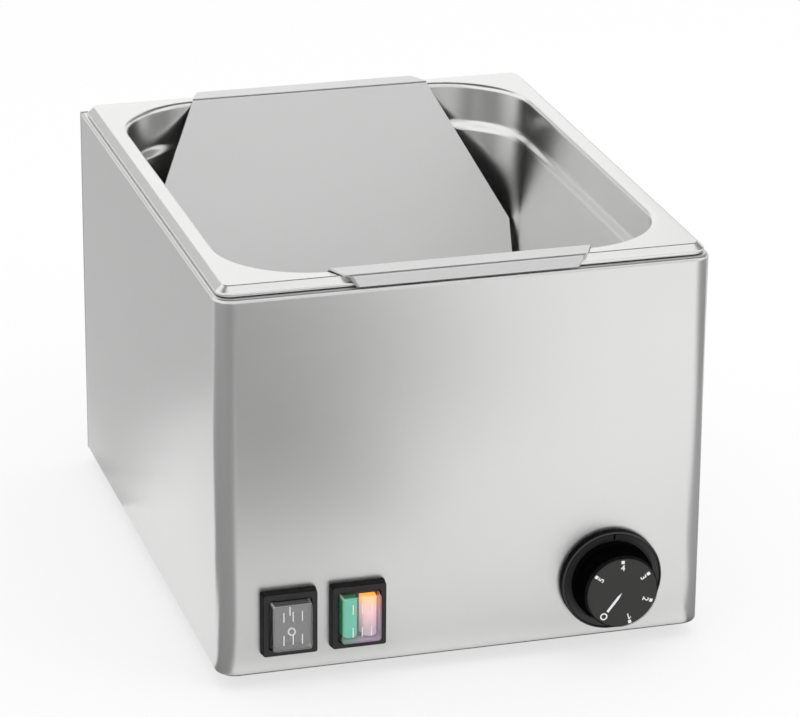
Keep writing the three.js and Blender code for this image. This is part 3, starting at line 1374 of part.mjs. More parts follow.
casing.add(
  piece('casing_wrap', makeCasingWrap(), satinSteel),
  piece('rear_panel', makeRearPanel(), satinSteel),
  piece('bottom_plate', makeBottomPlate(), zincSteel),
  piece('heating_well', makeHeatingWell(), satinSteel),
  piece('heating_element', makeHeatingElement(), heaterSheath),
  piece('insulation_mat', makeInsulationMat(), ceramic),
  piece('heat_shield', makeHeatShield(), zincSteel),
  piece('sensor_bulb', makeSensorBulb(), copper),
  piece('sensor_clip', makeSensorClip(), zincSteel),
  piece('sensor_capillary', makeCapillary(), copper),
  piece('thermal_limiter', makeThermalLimiter(), ceramic),
  piece('terminal_block', makeTerminalBlock(), ceramic),
  piece('earth_stud', makeEarthStud(), brass),
  piece('earth_nut', makeEarthNut(), brass),
  piece('gland_body', makeGlandBody(), blackPlastic),
  piece('gland_cap', makeGlandCap(), blackPlastic),
  piece('gland_locknut', makeGlandLocknut(), blackPlastic),
  piece('food_pan', makeFoodPan(), panSteel),
  piece('chip_insert', makeChipInsert(), insertSteel),
);

['front', 'rear'].forEach((end, at) => {
  const y = (at * 2 - 1) * STUD_PLACE;
  casing.add(
    piece(`clamp_bar_${end}`, makeClampBar(y), zincSteel),
    piece(`clamp_stud_${end}`, makeStud(y), zincSteel),
    piece(`clamp_nut_${end}`, makeClampNut(y), zincSteel),
  );
});

const cornerNames = ['front_left', 'front_right', 'rear_left', 'rear_right'];
footPlaces().forEach((place, at) => {
  casing.add(
    piece(`foot_${cornerNames[at]}`, makeFoot(place), rubber),
    piece(`foot_screw_${cornerNames[at]}`, makeFootScrew(place), zincSteel),
  );
});

const panelCorners = ['lower_left', 'lower_right', 'upper_left', 'upper_right'];
rearScrewPlaces().forEach((place, at) => {
  casing.add(piece(`rear_screw_${panelCorners[at]}`, makeRearScrew(place), zincSteel));
});

casing.add(onPanel(
  ROCKER_X, SWITCH_Z,
  piece('rocker_housing', makeRockerHousing(), housingPlastic),
  piece('rocker_paddle', makeRockerPaddle(), housingPlastic),
  piece('rocker_pin', makeRockerPin(), zincSteel),
  piece('rocker_cover', makeSplashCover(), clearCover),
  piece('rocker_frame', makeCoverFrame(), blackPlastic),
  piece('rocker_terminal_1', makeBladeTerminal(-TERMINAL_X, TERMINAL_Y), brass),
  piece('rocker_terminal_2', makeBladeTerminal(TERMINAL_X, TERMINAL_Y), brass),
  piece('rocker_terminal_3', makeBladeTerminal(-TERMINAL_X, -TERMINAL_Y), brass),
  piece('rocker_terminal_4', makeBladeTerminal(TERMINAL_X, -TERMINAL_Y), brass),
));

casing.add(onPanel(
  LAMP_X, SWITCH_Z,
  piece('lamp_housing', makeLampHousing(), housingPlastic),
  piece('lamp_lens_green', makeLens(-1), greenLens),
  piece('lamp_lens_orange', makeLens(1), orangeLens),
  piece('lamp_cover', makeSplashCover(), clearCover),
  piece('lamp_frame', makeCoverFrame(), blackPlastic),
  piece('lamp_terminal_1', makeBladeTerminal(-TERMINAL_X, TERMINAL_Y), brass),
  piece('lamp_terminal_2', makeBladeTerminal(TERMINAL_X, TERMINAL_Y), brass),
  piece('lamp_terminal_3', makeBladeTerminal(0, -TERMINAL_Y), brass),
));

casing.add(onPanel(
  KNOB_X, KNOB_Z,
  piece('thermostat_body', makeThermostatBody(), zincSteel),
  piece('thermostat_spindle', makeSpindle(), zincSteel),
  piece('thermostat_screw_left', makePanelScrew(-1), zincSteel),
  piece('thermostat_screw_right', makePanelScrew(1), zincSteel),
  piece('knob_ring', makeKnobRing(), blackPlastic),
  piece('control_knob', makeKnob(), knobPlastic),
));

casing.position.set(0, (KNOB_REACH - GLAND_REACH) / 2, FOOT_HEIGHT);
chipWarmer.add(casing);

export default chipWarmer;
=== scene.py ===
from math import atan2, cos, pi, radians, sin

import bmesh
import bpy
from mathutils import Matrix, Vector


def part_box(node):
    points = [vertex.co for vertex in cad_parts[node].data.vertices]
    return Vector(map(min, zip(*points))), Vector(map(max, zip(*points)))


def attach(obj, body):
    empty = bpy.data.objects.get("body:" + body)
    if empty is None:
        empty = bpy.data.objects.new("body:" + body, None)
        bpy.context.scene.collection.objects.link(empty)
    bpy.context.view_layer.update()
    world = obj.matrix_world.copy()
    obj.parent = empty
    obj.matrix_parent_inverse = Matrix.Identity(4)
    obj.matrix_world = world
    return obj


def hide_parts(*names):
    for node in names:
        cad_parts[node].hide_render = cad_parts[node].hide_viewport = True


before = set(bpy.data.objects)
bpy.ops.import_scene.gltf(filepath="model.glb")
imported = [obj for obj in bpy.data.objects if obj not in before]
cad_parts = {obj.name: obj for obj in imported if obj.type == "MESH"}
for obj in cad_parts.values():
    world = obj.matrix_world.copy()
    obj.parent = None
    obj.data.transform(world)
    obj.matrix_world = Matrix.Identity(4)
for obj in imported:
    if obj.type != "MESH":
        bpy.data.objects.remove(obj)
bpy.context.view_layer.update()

# Camera, floor and light. The camera stands to the left of the unit, above it and far off, with a long lens.
# The floor is a pale sheet that keeps a soft shadow. Large soft lamps stand round the unit, and grey cards
# that only reflections see shade its bare metal.
CAMERA_PLACE = Vector((-0.57334, -1.98736, 0.91068))
CAMERA_RIGHT = Vector((0.9601, -0.2797, 0.0075))
CAMERA_UP = Vector((0.0939, 0.3473, 0.9330))
CAMERA_AHEAD = Vector((0.2636, 0.8951, -0.3597))
LENS_MM = 177.1
NEAREST, FARTHEST = 0.05, 60.0
WORLD_LIGHT, WORLD_SEEN = 0.85, 1.0
FLOOR_SIZE, FLOOR_DROP = 30.0, 0.0001
FLOOR_WHITE = 0.7
FLAG_HEIGHT, FLAG_STEP = 0.002, 0.0001


class Level:
    """A number that varies over a surface. It can be added and multiplied."""

    def __init__(self, finish, socket):
        self.finish = finish
        self.socket = socket

    def _worked(self, operation, first, second):
        return self.finish.node("ShaderNodeMath", {"operation": operation}, {0: first, 1: second})

    def __add__(self, other):
        return self._worked("ADD", self, other)

    __radd__ = __add__

    def __mul__(self, other):
        return self._worked("MULTIPLY", self, other)

    __rmul__ = __mul__


class Finish:
    """A surface finish: the plain values of its shader, and the patterns that vary over it."""

    def __init__(self, name, colour, roughness, metallic=0.0, **values):
        self.material = bpy.data.materials.new(name)
        self.material.use_nodes = True
        self.tree = self.material.node_tree
        self.shader = self.tree.nodes["Principled BSDF"]
        self.colour = (*colour, 1.0)
        values = {"base_color": self.colour, "roughness": roughness, "metallic": metallic, **values}
        for socket, value in values.items():
            title = socket.replace("_", " ").title().replace("Ior", "IOR")
            self.shader.inputs[title].default_value = value

    def node(self, kind, settings=None, inputs=None, output=0):
        """A node with its settings, then the values or links of its sockets, and the output asked for."""
        made = self.tree.nodes.new(kind)
        for name, value in (settings or {}).items():
            setattr(made, name, value)
        for socket, value in (inputs or {}).items():
            self.feed(made.inputs[socket], value)
        return Level(self, made.outputs[output])

    def feed(self, socket, value):
        if isinstance(value, Level):
            self.tree.links.new(value.socket, socket)
        else:
            socket.default_value = value

    def place(self, stretch=(1, 1, 1)):
        where = self.node("ShaderNodeTexCoord", output="Object")
        return self.node("ShaderNodeMapping", {}, {"Vector": where, "Scale": stretch})

    def along(self, axis):
        return self.node("ShaderNodeSeparateXYZ", {}, {0: self.place()}, output=axis)

    def noise(self, scale, detail=2.0, stretch=(1, 1, 1)):
        """Noise from 0 to 1, of so many spots to the metre."""
        inputs = {"Vector": self.place(stretch), "Scale": scale, "Detail": detail}
        return self.node("ShaderNodeTexNoise", {}, inputs)

    def ramp(self, level, start, end):
        """It rises from 0 where the level is at its start to 1 at its end."""
        return self.node("ShaderNodeMapRange", {}, {"Value": level, "From Min": start, "From Max": end})

    def blend(self, level, first, second):
        colours = {0: level, 6: first, 7: (*second, 1.0)}
        return self.node("ShaderNodeMix", {"data_type": "RGBA"}, colours, 2)

    def tint(self, level, other, start=None):
        """The base colour, or a pattern to start from, moves towards another colour by a level."""
        mixed = self.blend(level, start or self.colour, other)
        self.feed(self.shader.inputs["Base Color"], mixed)
        return mixed

    def gloss(self, level):
        self.feed(self.shader.inputs["Roughness"], level)

    def glow(self, colours):
        self.feed(self.shader.inputs["Emission Color"], colours)

    def relief(self, height, depth, strength=1.0):
        inputs = {"Strength": strength, "Distance": depth, "Height": height}
        self.feed(self.shader.inputs["Normal"], self.node("ShaderNodeBump", {}, inputs))


world = bpy.data.worlds.new("studio")
bpy.context.scene.world = world
world.use_nodes = True
tree = world.node_tree
surround = tree.nodes["Background"]
surround.inputs["Color"].default_value = (1, 1, 1, 1)
brightness = tree.nodes.new("ShaderNodeMapRange")
brightness.inputs["To Min"].default_value = WORLD_LIGHT
brightness.inputs["To Max"].default_value = WORLD_SEEN
path = tree.nodes.new("ShaderNodeLightPath")
seen = path.outputs["Is Camera Ray"]
for ray in ("Is Glossy Ray", "Is Transmission Ray"):
    either = tree.nodes.new("ShaderNodeMath")
    either.operation = "MAXIMUM"
    tree.links.new(seen, either.inputs[0])
    tree.links.new(path.outputs[ray], either.inputs[1])
    seen = either.outputs[0]
tree.links.new(seen, brightness.inputs["Value"])
tree.links.new(brightness.outputs[0], surround.inputs["Strength"])

sight = bpy.data.objects.new("camera", bpy.data.cameras.new("camera"))
turned = Matrix((CAMERA_RIGHT, CAMERA_UP, -CAMERA_AHEAD)).transposed().to_4x4()
sight.matrix_world = Matrix.Translation(CAMERA_PLACE) @ turned
sight.data.lens = LENS_MM
sight.data.clip_start = NEAREST
sight.data.clip_end = FARTHEST
bpy.context.scene.collection.objects.link(sight)
bpy.context.scene.camera = sight
bpy.context.scene.view_settings.view_transform = "Standard"


def add_card(name, finish, width, depth, place, slope=0.0):
    """A flat sheet of the studio, level or stood up by a slope."""
    shape = bmesh.new()
    corners = bmesh.ops.create_grid(shape, x_segments=1, y_segments=1, size=0.5)["verts"]
    bmesh.ops.scale(shape, vec=(width, depth, 1), verts=corners)
    bmesh.ops.rotate(shape, cent=(0, 0, 0), matrix=Matrix.Rotation(slope, 3, "X"), verts=corners)
    bmesh.ops.translate(shape, vec=place, verts=corners)
    mesh = bpy.data.meshes.new(name)
    shape.to_mesh(mesh)
    shape.free()
    mesh.materials.append(finish.material)
    card = bpy.data.objects.new(name, mesh)
    bpy.context.scene.collection.objects.link(card)
    return card


paper = Finish("pale floor", (0.93, 0.93, 0.93), 0.6, specular_ior_level=0.0)
camera_ray = paper.node("ShaderNodeLightPath", output="Is Camera Ray")
mirrored = paper.node("ShaderNodeLightPath", output="Is Glossy Ray")
through = paper.node("ShaderNodeLightPath", output="Is Transmission Ray")
share = (camera_ray + mirrored + through) * FLOOR_WHITE
bright = paper.node("ShaderNodeEmission", {}, {"Color": (1, 1, 1, 1), "Strength": 1.0})
both = paper.node("ShaderNodeMixShader", {}, {0: share, 2: bright})
paper.tree.links.new(paper.shader.outputs[0], both.socket.node.inputs[1])
paper.tree.links.new(both.socket, paper.tree.nodes["Material Output"].inputs["Surface"])
floor = add_card("floor", paper, FLOOR_SIZE, FLOOR_SIZE, (0, 0, -FLOOR_DROP))


def add_lamp(name, place, aim, width, height, power):
    lamp = bpy.data.objects.new(name, bpy.data.lights.new(name, "AREA"))
    lamp.data.shape = "RECTANGLE"
    lamp.data.size, lamp.data.size_y = width, height
    lamp.data.energy = power
    lamp.visible_glossy = False
    lamp.location = place
    lamp.rotation_mode = "QUATERNION"
    lamp.rotation_quaternion = (Vector(aim) - Vector(place)).to_track_quat("-Z", "Y")
    bpy.context.scene.collection.objects.link(lamp)


def add_flag(name, tone, low, high, slope=0.0):
    """A grey card that only reflections see, to shade bare metal as a studio flag does."""
    place = ((high[0] + low[0]) / 2, (high[1] + low[1]) / 2, high[2])
    grey = Finish(name, (tone, tone, tone), 0.9)
    flag = add_card(name, grey, high[0] - low[0], high[1] - low[1], place, slope)
    flag.visible_camera = False
    flag.visible_diffuse = False
    flag.visible_shadow = False


for step, (name, tone, low, high) in enumerate((
    ("front_far", 0.21, (-1.20, -1.60), (0.135, -0.52)),
    ("front", 0.21, (-1.20, -0.52), (0.035, -0.37)),
    ("front_near", 0.74, (-0.30, -0.37), (-0.03, -0.19)),
    ("front_low", 0.87, (-0.03, -0.37), (0.40, -0.19)),
    ("corner", 0.26, (-1.20, -0.60), (-0.170, -0.13)),
    ("corner_near", 0.26, (-0.225, -0.32), (-0.137, -0.140)),
    ("corner_side", 0.26, (-1.20, -0.13), (-0.225, -0.03)),
    ("corner_far", 0.30, (-1.20, -0.03), (-0.27, 0.18)),
    ("left_1", 0.88, (-0.155, 0.085), (-0.136, 0.130)),
    ("left_1_far", 0.76, (-0.155, 0.130), (-0.136, 1.60)),
    ("left_2", 0.74, (-0.175, 0.115), (-0.155, 0.160)),
    ("left_2_far", 0.60, (-0.175, 0.160), (-0.155, 1.60)),
    ("left_3", 0.62, (-0.195, 0.150), (-0.175, 0.200)),
    ("left_3_far", 0.53, (-0.195, 0.200), (-0.175, 1.60)),
    ("left_4", 0.56, (-0.215, 0.190), (-0.195, 1.60)),
    ("left_5", 0.53, (-0.235, 0.215), (-0.215, 1.60)),
    ("left_6", 0.51, (-1.200, 0.235), (-0.235, 1.60)),
    ("right", 0.25, (0.48, -0.75), (1.50, 0.10)),
    ("right_near", 0.34, (0.19, -0.30), (0.48, 0.04)),
    ("right_foot", 0.32, (0.140, -0.20), (0.19, 0.04)),
    ("right_rear", 0.12, (0.27, 0.25), (1.40, 1.60)),
    ("under", 0.03, (-0.132, -0.1745), (0.141, 0.1745)),
    ("gap", 0.46, (-0.165, -0.80), (-0.095, -0.36)),
)):
    add_flag(f"flag_{name}", tone, low, (*high, FLAG_HEIGHT + step * FLAG_STEP))
add_flag("flag_above", 0.13, (-1.6, -0.35), (2.2, 1.8, 2.3))
add_flag("flag_behind", 0.62, (-2.2, 2.4), (-0.5, 3.6, 1.1), slope=pi / 2)
add_flag("flag_right_above", 0.30, (2.3, -0.35), (8.0, 6.0, 2.3))
add_flag("flag_high", 0.84, (-3.0, -4.8), (3.6, -1.2, 2.0), slope=pi / 2)
add_lamp("lamp_right", (1.8, -1.4, 1.6), (0, 0, 0.1), 2.0, 1.6, 10)
add_lamp("lamp_above", (0.2, 0.3, 2.4), (0, 0, 0.1), 2.4, 2.4, 14)

# Casing: the front and both sides are one satin stainless sheet, folded round the front uprights, with a soft
# bend at the top, a deck turned in to the well's mouth and seams turned in at the bottom and the rear.
CASE_LOW, CASE_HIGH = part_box("casing_wrap")
CASE_WIDTH = CASE_HIGH.x - CASE_LOW.x
CASE_FRONT, CASE_BACK = CASE_LOW.y, CASE_HIGH.y
CASE_BOTTOM, CASE_TOP = CASE_LOW.z, CASE_HIGH.z
SHEET = 0.001
SEAM = 0.012
SEAM_FOLD = 0.0010
UPRIGHT_RADIUS = 0.011
TOP_BEND = 0.002
LEAST_BEND = 0.0005
MOUTH = (0.124, 0.154, 0.0545)
SWITCH_CUT = (0.022, 0.028)
SPINDLE_HOLE = 0.0045
CUT_REACH = 0.004


def middle(node):
    low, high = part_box(node)
    return (low + high) / 2


ROCKER_SPOT = middle("rocker_frame").xz
LAMP_SPOT = middle("lamp_frame").xz
KNOB_SPOT = middle("knob_ring").xz


def make_piece(name, shape, finishes, body, slot, *nodes, place=None, crease=35, finish_of=None):
    """A finished mesh, in its place, riding on its body in the stead of CAD nodes."""
    if place is not None:
        bmesh.ops.transform(shape, matrix=place, verts=shape.verts)
    mesh = bpy.data.meshes.new(name)
    shape.to_mesh(mesh)
    shape.free()
    for finish in finishes:
        mesh.materials.append(finish.material)
    if finish_of:
        for face in mesh.polygons:
            face.material_index = finish_of(face)
    mesh.shade_smooth()
    mesh.set_sharp_from_angle(angle=radians(crease))
    piece = bpy.data.objects.new(name, mesh)
    bpy.context.scene.collection.objects.link(piece)
    flat = piece.modifiers.new("flat faces stay flat", "WEIGHTED_NORMAL")
    flat.keep_sharp = True
    flat.weight = 50
    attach(piece, body)
    if nodes:
        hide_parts(*nodes)


def draw_on(shape, ring):
    """Extrudes a ring of corners, and gives the new ring in the same order."""
    edges = [shape.edges.get((one, two)) for one, two in zip(ring, ring[1:] + ring[:1])]
    made = set(bmesh.ops.extrude_edge_only(shape, edges=edges)["geom"])
    return [
        next(edge.other_vert(corner) for edge in corner.link_edges if edge.other_vert(corner) in made)
        for corner in ring
    ]


def join_rings(shape, first, last):
    edges = [shape.edges.get(pair) for ring in (first, last) for pair in zip(ring, ring[1:] + ring[:1])]
    bmesh.ops.bridge_loops(shape, edges=edges)


def lay_ring(ring, half_x, half_y, radius, z, front=None, shift=0.0):
    """Sets a ring to a rounded rectangle. The two corners at the front may have a radius of their own."""
    steps = len(ring) // 4 - 1
    for at, corner in enumerate(ring):
        quarter, step = divmod(at, steps + 1)
        angle = (quarter + step / steps) * pi / 2
        side_x, side_y = ((1, 1), (-1, 1), (-1, -1), (1, -1))[quarter]
        bend = front if front and side_y < 0 else radius
        corner.co = (
            side_x * (half_x - bend) + bend * cos(angle),
            side_y * (half_y - bend) + bend * sin(angle) + shift,
            z,
        )


def draw_skin(rings, steps, hoop=False, shift=0.0):
    """A closed skin drawn through rounded rectangles. A hoop's last ring joins its first."""
    shape = bmesh.new()
    first = ring = list(bmesh.ops.create_circle(shape, segments=4 * (steps + 1), radius=1)["verts"])
    for at, sizes in enumerate(rings):
        if at:
            ring = draw_on(shape, ring)
        lay_ring(ring, *sizes, shift=shift)
    if hoop:
        join_rings(shape, first, ring)
    else:
        shape.faces.new(first)
        shape.faces.new(ring)
    bmesh.ops.recalc_face_normals(shape, faces=shape.faces)
    return shape


def add_block(shape, low, high):
    corners = bmesh.ops.create_cube(shape, size=1)["verts"]
    bmesh.ops.scale(shape, vec=Vector(high) - Vector(low), verts=corners)
    bmesh.ops.translate(shape, vec=(Vector(low) + Vector(high)) / 2, verts=corners)


def add_rod(shape, radius, length, place, segments=32):
    """A round bar along its own Z, from that place on."""
    bmesh.ops.create_cone(
        shape, cap_ends=True, segments=segments, radius1=radius, radius2=radius, depth=length,
        matrix=place @ Matrix.Translation((0, 0, length / 2)),
    )


def cut_away(shape, *tools, operation="DIFFERENCE"):
    """Takes the tools' solids out of a shape, or keeps only what is inside them."""
    holders = []
    for part in (shape, *tools):
        mesh = bpy.data.meshes.new("working shape")
        part.to_mesh(mesh)
        part.free()
        holders.append(bpy.data.objects.new("working shape", mesh))
        bpy.context.scene.collection.objects.link(holders[-1])
    body = holders[0]
    for tool in holders[1:]:
        step = body.modifiers.new("cut", "BOOLEAN")
        step.operation = operation
        step.solver = "EXACT"
        step.object = tool
    bpy.context.view_layer.update()
    result = bmesh.new()
    result.from_mesh(body.evaluated_get(bpy.context.evaluated_depsgraph_get()).to_mesh())
    for holder in holders:
        bpy.data.objects.remove(holder)
    bmesh.ops.remove_doubles(result, verts=result.verts, dist=1e-6)
    return result


def out_of_panel(x, z, out=0.0):
    """Turns a piece's own Z out of the front panel, and its Y upwards."""
    return Matrix.Translation((x, CASE_FRONT - out, z)) @ Matrix.Rotation(pi / 2, 4, "X")


satin_steel = Finish("satin stainless steel", (0.80, 0.80, 0.795), 0.3, metallic=1.0)
cloudy = satin_steel.noise(9.0, 3.0)
lines = satin_steel.noise(900.0, 2.0, (0.03, 0.03, 1.0))
satin_steel.tint(cloudy * 0.35, (0.76, 0.76, 0.755))
satin_steel.gloss(0.25 + cloudy * 0.06 + lines * 0.05)
satin_steel.relief(lines, 0.00002, 0.25)


def casing_skin():
    half_x, half_y = CASE_WIDTH / 2, (CASE_BACK - CASE_FRONT) / 2

    def wall(inset, z):
        rear, front = (max(radius - inset, LEAST_BEND) for radius in (TOP_BEND, UPRIGHT_RADIUS))
        return half_x - inset, half_y - inset, rear, z, front

    def top_bend(radius, steps=6):
        for step in range(steps + 1):
            angle = step / steps * pi / 2
            yield wall(TOP_BEND - radius * cos(angle), CASE_TOP - TOP_BEND + radius * sin(angle))

    rings = [wall(SEAM, CASE_BOTTOM), wall(SEAM_FOLD, CASE_BOTTOM)]
    rings += [wall(SEAM_FOLD / 3, CASE_BOTTOM + SEAM_FOLD / 3), wall(0, CASE_BOTTOM + SEAM_FOLD)]
    rings += [*top_bend(TOP_BEND), (*MOUTH, CASE_TOP, MOUTH[2]), (*MOUTH, CASE_TOP - SHEET, MOUTH[2])]
    rings += reversed(list(top_bend(TOP_BEND - SHEET)))
    rings += [wall(SHEET, CASE_BOTTOM + SHEET), wall(SEAM, CASE_BOTTOM + SHEET)]
    return draw_skin(rings, steps=16, hoop=True, shift=(CASE_BACK + CASE_FRONT) / 2)


openings = bmesh.new()
for x, z in (ROCKER_SPOT, LAMP_SPOT):
    add_block(
        openings,
        (x - SWITCH_CUT[0] / 2, CASE_FRONT - CUT_REACH, z - SWITCH_CUT[1] / 2),
        (x + SWITCH_CUT[0] / 2, CASE_FRONT + CUT_REACH, z + SWITCH_CUT[1] / 2),
    )
add_rod(openings, SPINDLE_HOLE, 2 * CUT_REACH, out_of_panel(*KNOB_SPOT, out=-CUT_REACH))
rear_gap = bmesh.new()
gap_half, past = CASE_WIDTH / 2 - SEAM, 0.005
add_block(rear_gap, (-gap_half, CASE_BACK - SEAM, 0), (gap_half, CASE_BACK + past, CASE_TOP + past))
make_piece(
    "casing_sheet", cut_away(casing_skin(), openings, rear_gap),
    [satin_steel], "casing", "satin_steel", "casing_wrap", crease=40,
)

# Rear panel and bottom plate: flat sheets, screwed on, in the CAD's own shapes. The rear panel is of the
# casing's steel. The bottom plate and the small steel parts inside are zinc-plated, with a faint spangle.
zinc_steel = Finish("zinc-plated steel", (0.50, 0.51, 0.53), 0.38, metallic=1.0)
spangle = zinc_steel.node("ShaderNodeTexVoronoi", {}, {"Vector": zinc_steel.place(), "Scale": 160.0})
zinc_steel.tint(spangle * 0.6, (0.60, 0.60, 0.58))
zinc_steel.gloss(0.3 + spangle * 0.2)
zinc_steel.relief(zinc_steel.noise(1500.0, 3.0), 0.00001, 0.3)


def finish_node(finish, *names):
    for name in names:
        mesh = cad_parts[name].data
        mesh.materials.clear()
        mesh.materials.append(finish.material)


finish_node(satin_steel, "rear_panel")
finish_node(zinc_steel, "bottom_plate", "heat_shield", "thermostat_body", "sensor_clip")
for end in ("front", "rear"):
    finish_node(zinc_steel, f"clamp_bar_{end}", f"clamp_stud_{end}", f"clamp_nut_{end}")
finish_node(zinc_steel, "rocker_pin", "thermostat_spindle", "thermostat_screw_left", "thermostat_screw_right")

# Rear screws: four cross-recessed pan-head screws of zinc-plated steel, through the corners of the rear panel
# into the casing's turned-in seams.
PANEL_BACK = 0.1665
SCREW_X = 0.1275
SCREW_Z = {"lower": 0.030, "upper": 0.197}


def spin_profile(shape, profile, segments):
    """A profile of (radius, height) spun round the upright axis into a closed shape."""
    corners = [shape.verts.new((radius, 0, height)) for radius, height in profile]
    edges = [shape.edges.new(pair) for pair in zip(corners, corners[1:])]
    if profile[0][0] and profile[-1][0]:
        edges.append(shape.edges.new((corners[-1], corners[0])))
    bmesh.ops.spin(
        shape, geom=corners + edges, cent=(0, 0, 0), axis=(0, 0, 1), angle=2 * pi, steps=segments,
        use_merge=True,
    )
    bmesh.ops.remove_doubles(shape, verts=shape.verts, dist=1e-7)
    bmesh.ops.recalc_face_normals(shape, faces=shape.faces)


def screw_shape(radius, length, head_radius, head_height):
    """A screw along its own Z, with its head's seat at its origin and two crossed slots in its crown."""
    profile = [(0, -length), (radius * 0.6, -length), (radius, -length + radius * 0.5)]
    profile += [(radius, 0), (head_radius, 0)]
    for step in range(7):
        drawn_in = 1 - 0.45 * (step / 6) ** 2.2
        rise = 0.1 + 0.9 * sin(step / 6 * pi / 2)
        profile.append((head_radius * drawn_in, head_height * rise))
    profile += [(0, head_height)]
    shape = bmesh.new()
    spin_profile(shape, profile, 28)
    slot_half, slot_wide = head_radius * 0.48, head_radius * 0.11
    slots = []
    for half_x, half_y in ((slot_half, slot_wide), (slot_wide, slot_half)):
        slots.append(bmesh.new())
        add_block(slots[-1], (-half_x, -half_y, head_height * 0.35), (half_x, half_y, head_height * 2))
    return cut_away(shape, *slots)


for side, x in (("left", -SCREW_X), ("right", SCREW_X)):
    for end, z in SCREW_Z.items():
        make_piece(
            f"screw_{end}_{side}", screw_shape(0.002, 0.008, 0.0038, 0.0022),
            [zinc_steel], "casing", "zinc_steel", f"rear_screw_{end}_{side}",
            place=Matrix.Translation((x, PANEL_BACK, z)) @ Matrix.Rotation(-pi / 2, 4, "X"),
        )

# Feet: four moulded cushions of black rubber with a rounded tread. A zinc-plated screw goes up through each
# into the bottom plate, with its head deep in the cushion's recess.
FOOT_X, FOOT_Y = 0.0945, 0.1265
FOOT_HEIGHT, RECESS_FLOOR = 0.009, 0.004
TREAD_RADIUS, TREAD_ROUND = 0.0105, 0.001
rubber = Finish("black rubber", (0.022, 0.022, 0.023), 0.75)
dust = rubber.noise(300.0, 4.0)
rubber.tint(dust * 0.5, (0.045, 0.044, 0.042))
rubber.relief(dust, 0.00008, 0.5)


def foot_shape():
    profile = [(0.0028, FOOT_HEIGHT), (0.0028, RECESS_FLOOR), (0.0055, RECESS_FLOOR)]
    profile += [(0.0055, 0.0006), (0.0059, 0)]
    for step in range(5):
        angle = step / 4 * pi / 2
        profile.append((TREAD_RADIUS + TREAD_ROUND * sin(angle), TREAD_ROUND - TREAD_ROUND * cos(angle)))
    profile += [(0.0128, 0.0078), (0.013, 0.0085), (0.0128, FOOT_HEIGHT)]
    shape = bmesh.new()
    spin_profile(shape, profile, 48)
    return shape


for end, y in (("front", -FOOT_Y), ("rear", FOOT_Y)):
    for side, x in (("left", -FOOT_X), ("right", FOOT_X)):
        make_piece(
            f"foot_cushion_{end}_{side}", foot_shape(), [rubber], "casing", "rubber", f"foot_{end}_{side}",
            place=Matrix.Translation((x, y, 0)),
        )
        make_piece(
            f"foot_fixing_{end}_{side}", screw_shape(0.0025, 0.0118, 0.0045, 0.0028),
            [zinc_steel], "casing", "zinc_steel", f"foot_screw_{end}_{side}",
            place=Matrix.Translation((x, y, RECESS_FLOOR)) @ Matrix.Rotation(pi, 4, "X"),
        )

# Heating well: a drawn tub of the same satin stainless sheet, with a flange that is welded under the deck.
# The pan hangs in it, so it shows only when the pan is out.
WELL_FLOOR = 0.0657
WELL_BEND = 0.008
WELL_FLANGE = (0.132, 0.163, 0.010)


def well_skin():
    flange_top = CASE_TOP - SHEET
    half_x, half_y, corner = MOUTH

    def wall(grow, z):
        return half_x + grow, half_y + grow, corner + grow, z

    def floor_bend(radius, steps=6):
        for step in range(steps + 1):
            angle = step / steps * pi / 2
            yield wall(radius * sin(angle) - WELL_BEND, WELL_FLOOR + WELL_BEND - radius * cos(angle))

    rings = [*floor_bend(WELL_BEND + SHEET), wall(SHEET, flange_top - SHEET)]
    rings += [(*WELL_FLANGE, flange_top - SHEET), (*WELL_FLANGE, flange_top), wall(0, flange_top)]
    rings += reversed(list(floor_bend(WELL_BEND)))
    return draw_skin(rings, steps=16)


make_piece("well_tub", well_skin(), [satin_steel], "casing", "satin_steel", "heating_well", crease=40)

# Food pan: deep-drawn bright stainless, with a rolled rim, a flat flange, a stacking shoulder, walls that
# lean in and a wide floor radius.
PAN_LOW, PAN_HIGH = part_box("food_pan")
PAN_TOP = PAN_HIGH.z
PAN_DEPTH = PAN_TOP - PAN_LOW.z
PAN_SHEET = 0.0008
PAN_HALF_X, PAN_HALF_Y = 0.1325, 0.1625
PAN_FLANGE = 0.013
RIM_CORNER, RIM_LEAST, RIM_BEAD = 0.008, 0.0009, 0.0009
pan_steel = Finish("bright drawn stainless steel", (0.87, 0.87, 0.865), 0.2, metallic=1.0)
drawn = pan_steel.noise(260.0, 2.0, (1.0, 1.0, 0.06))
haze = pan_steel.noise(14.0, 3.0)
pan_steel.tint(haze * 0.3, (0.81, 0.81, 0.805))
pan_steel.gloss(0.18 + haze * 0.07 + drawn * 0.05)
pan_steel.relief(drawn, 0.00002, 0.3)


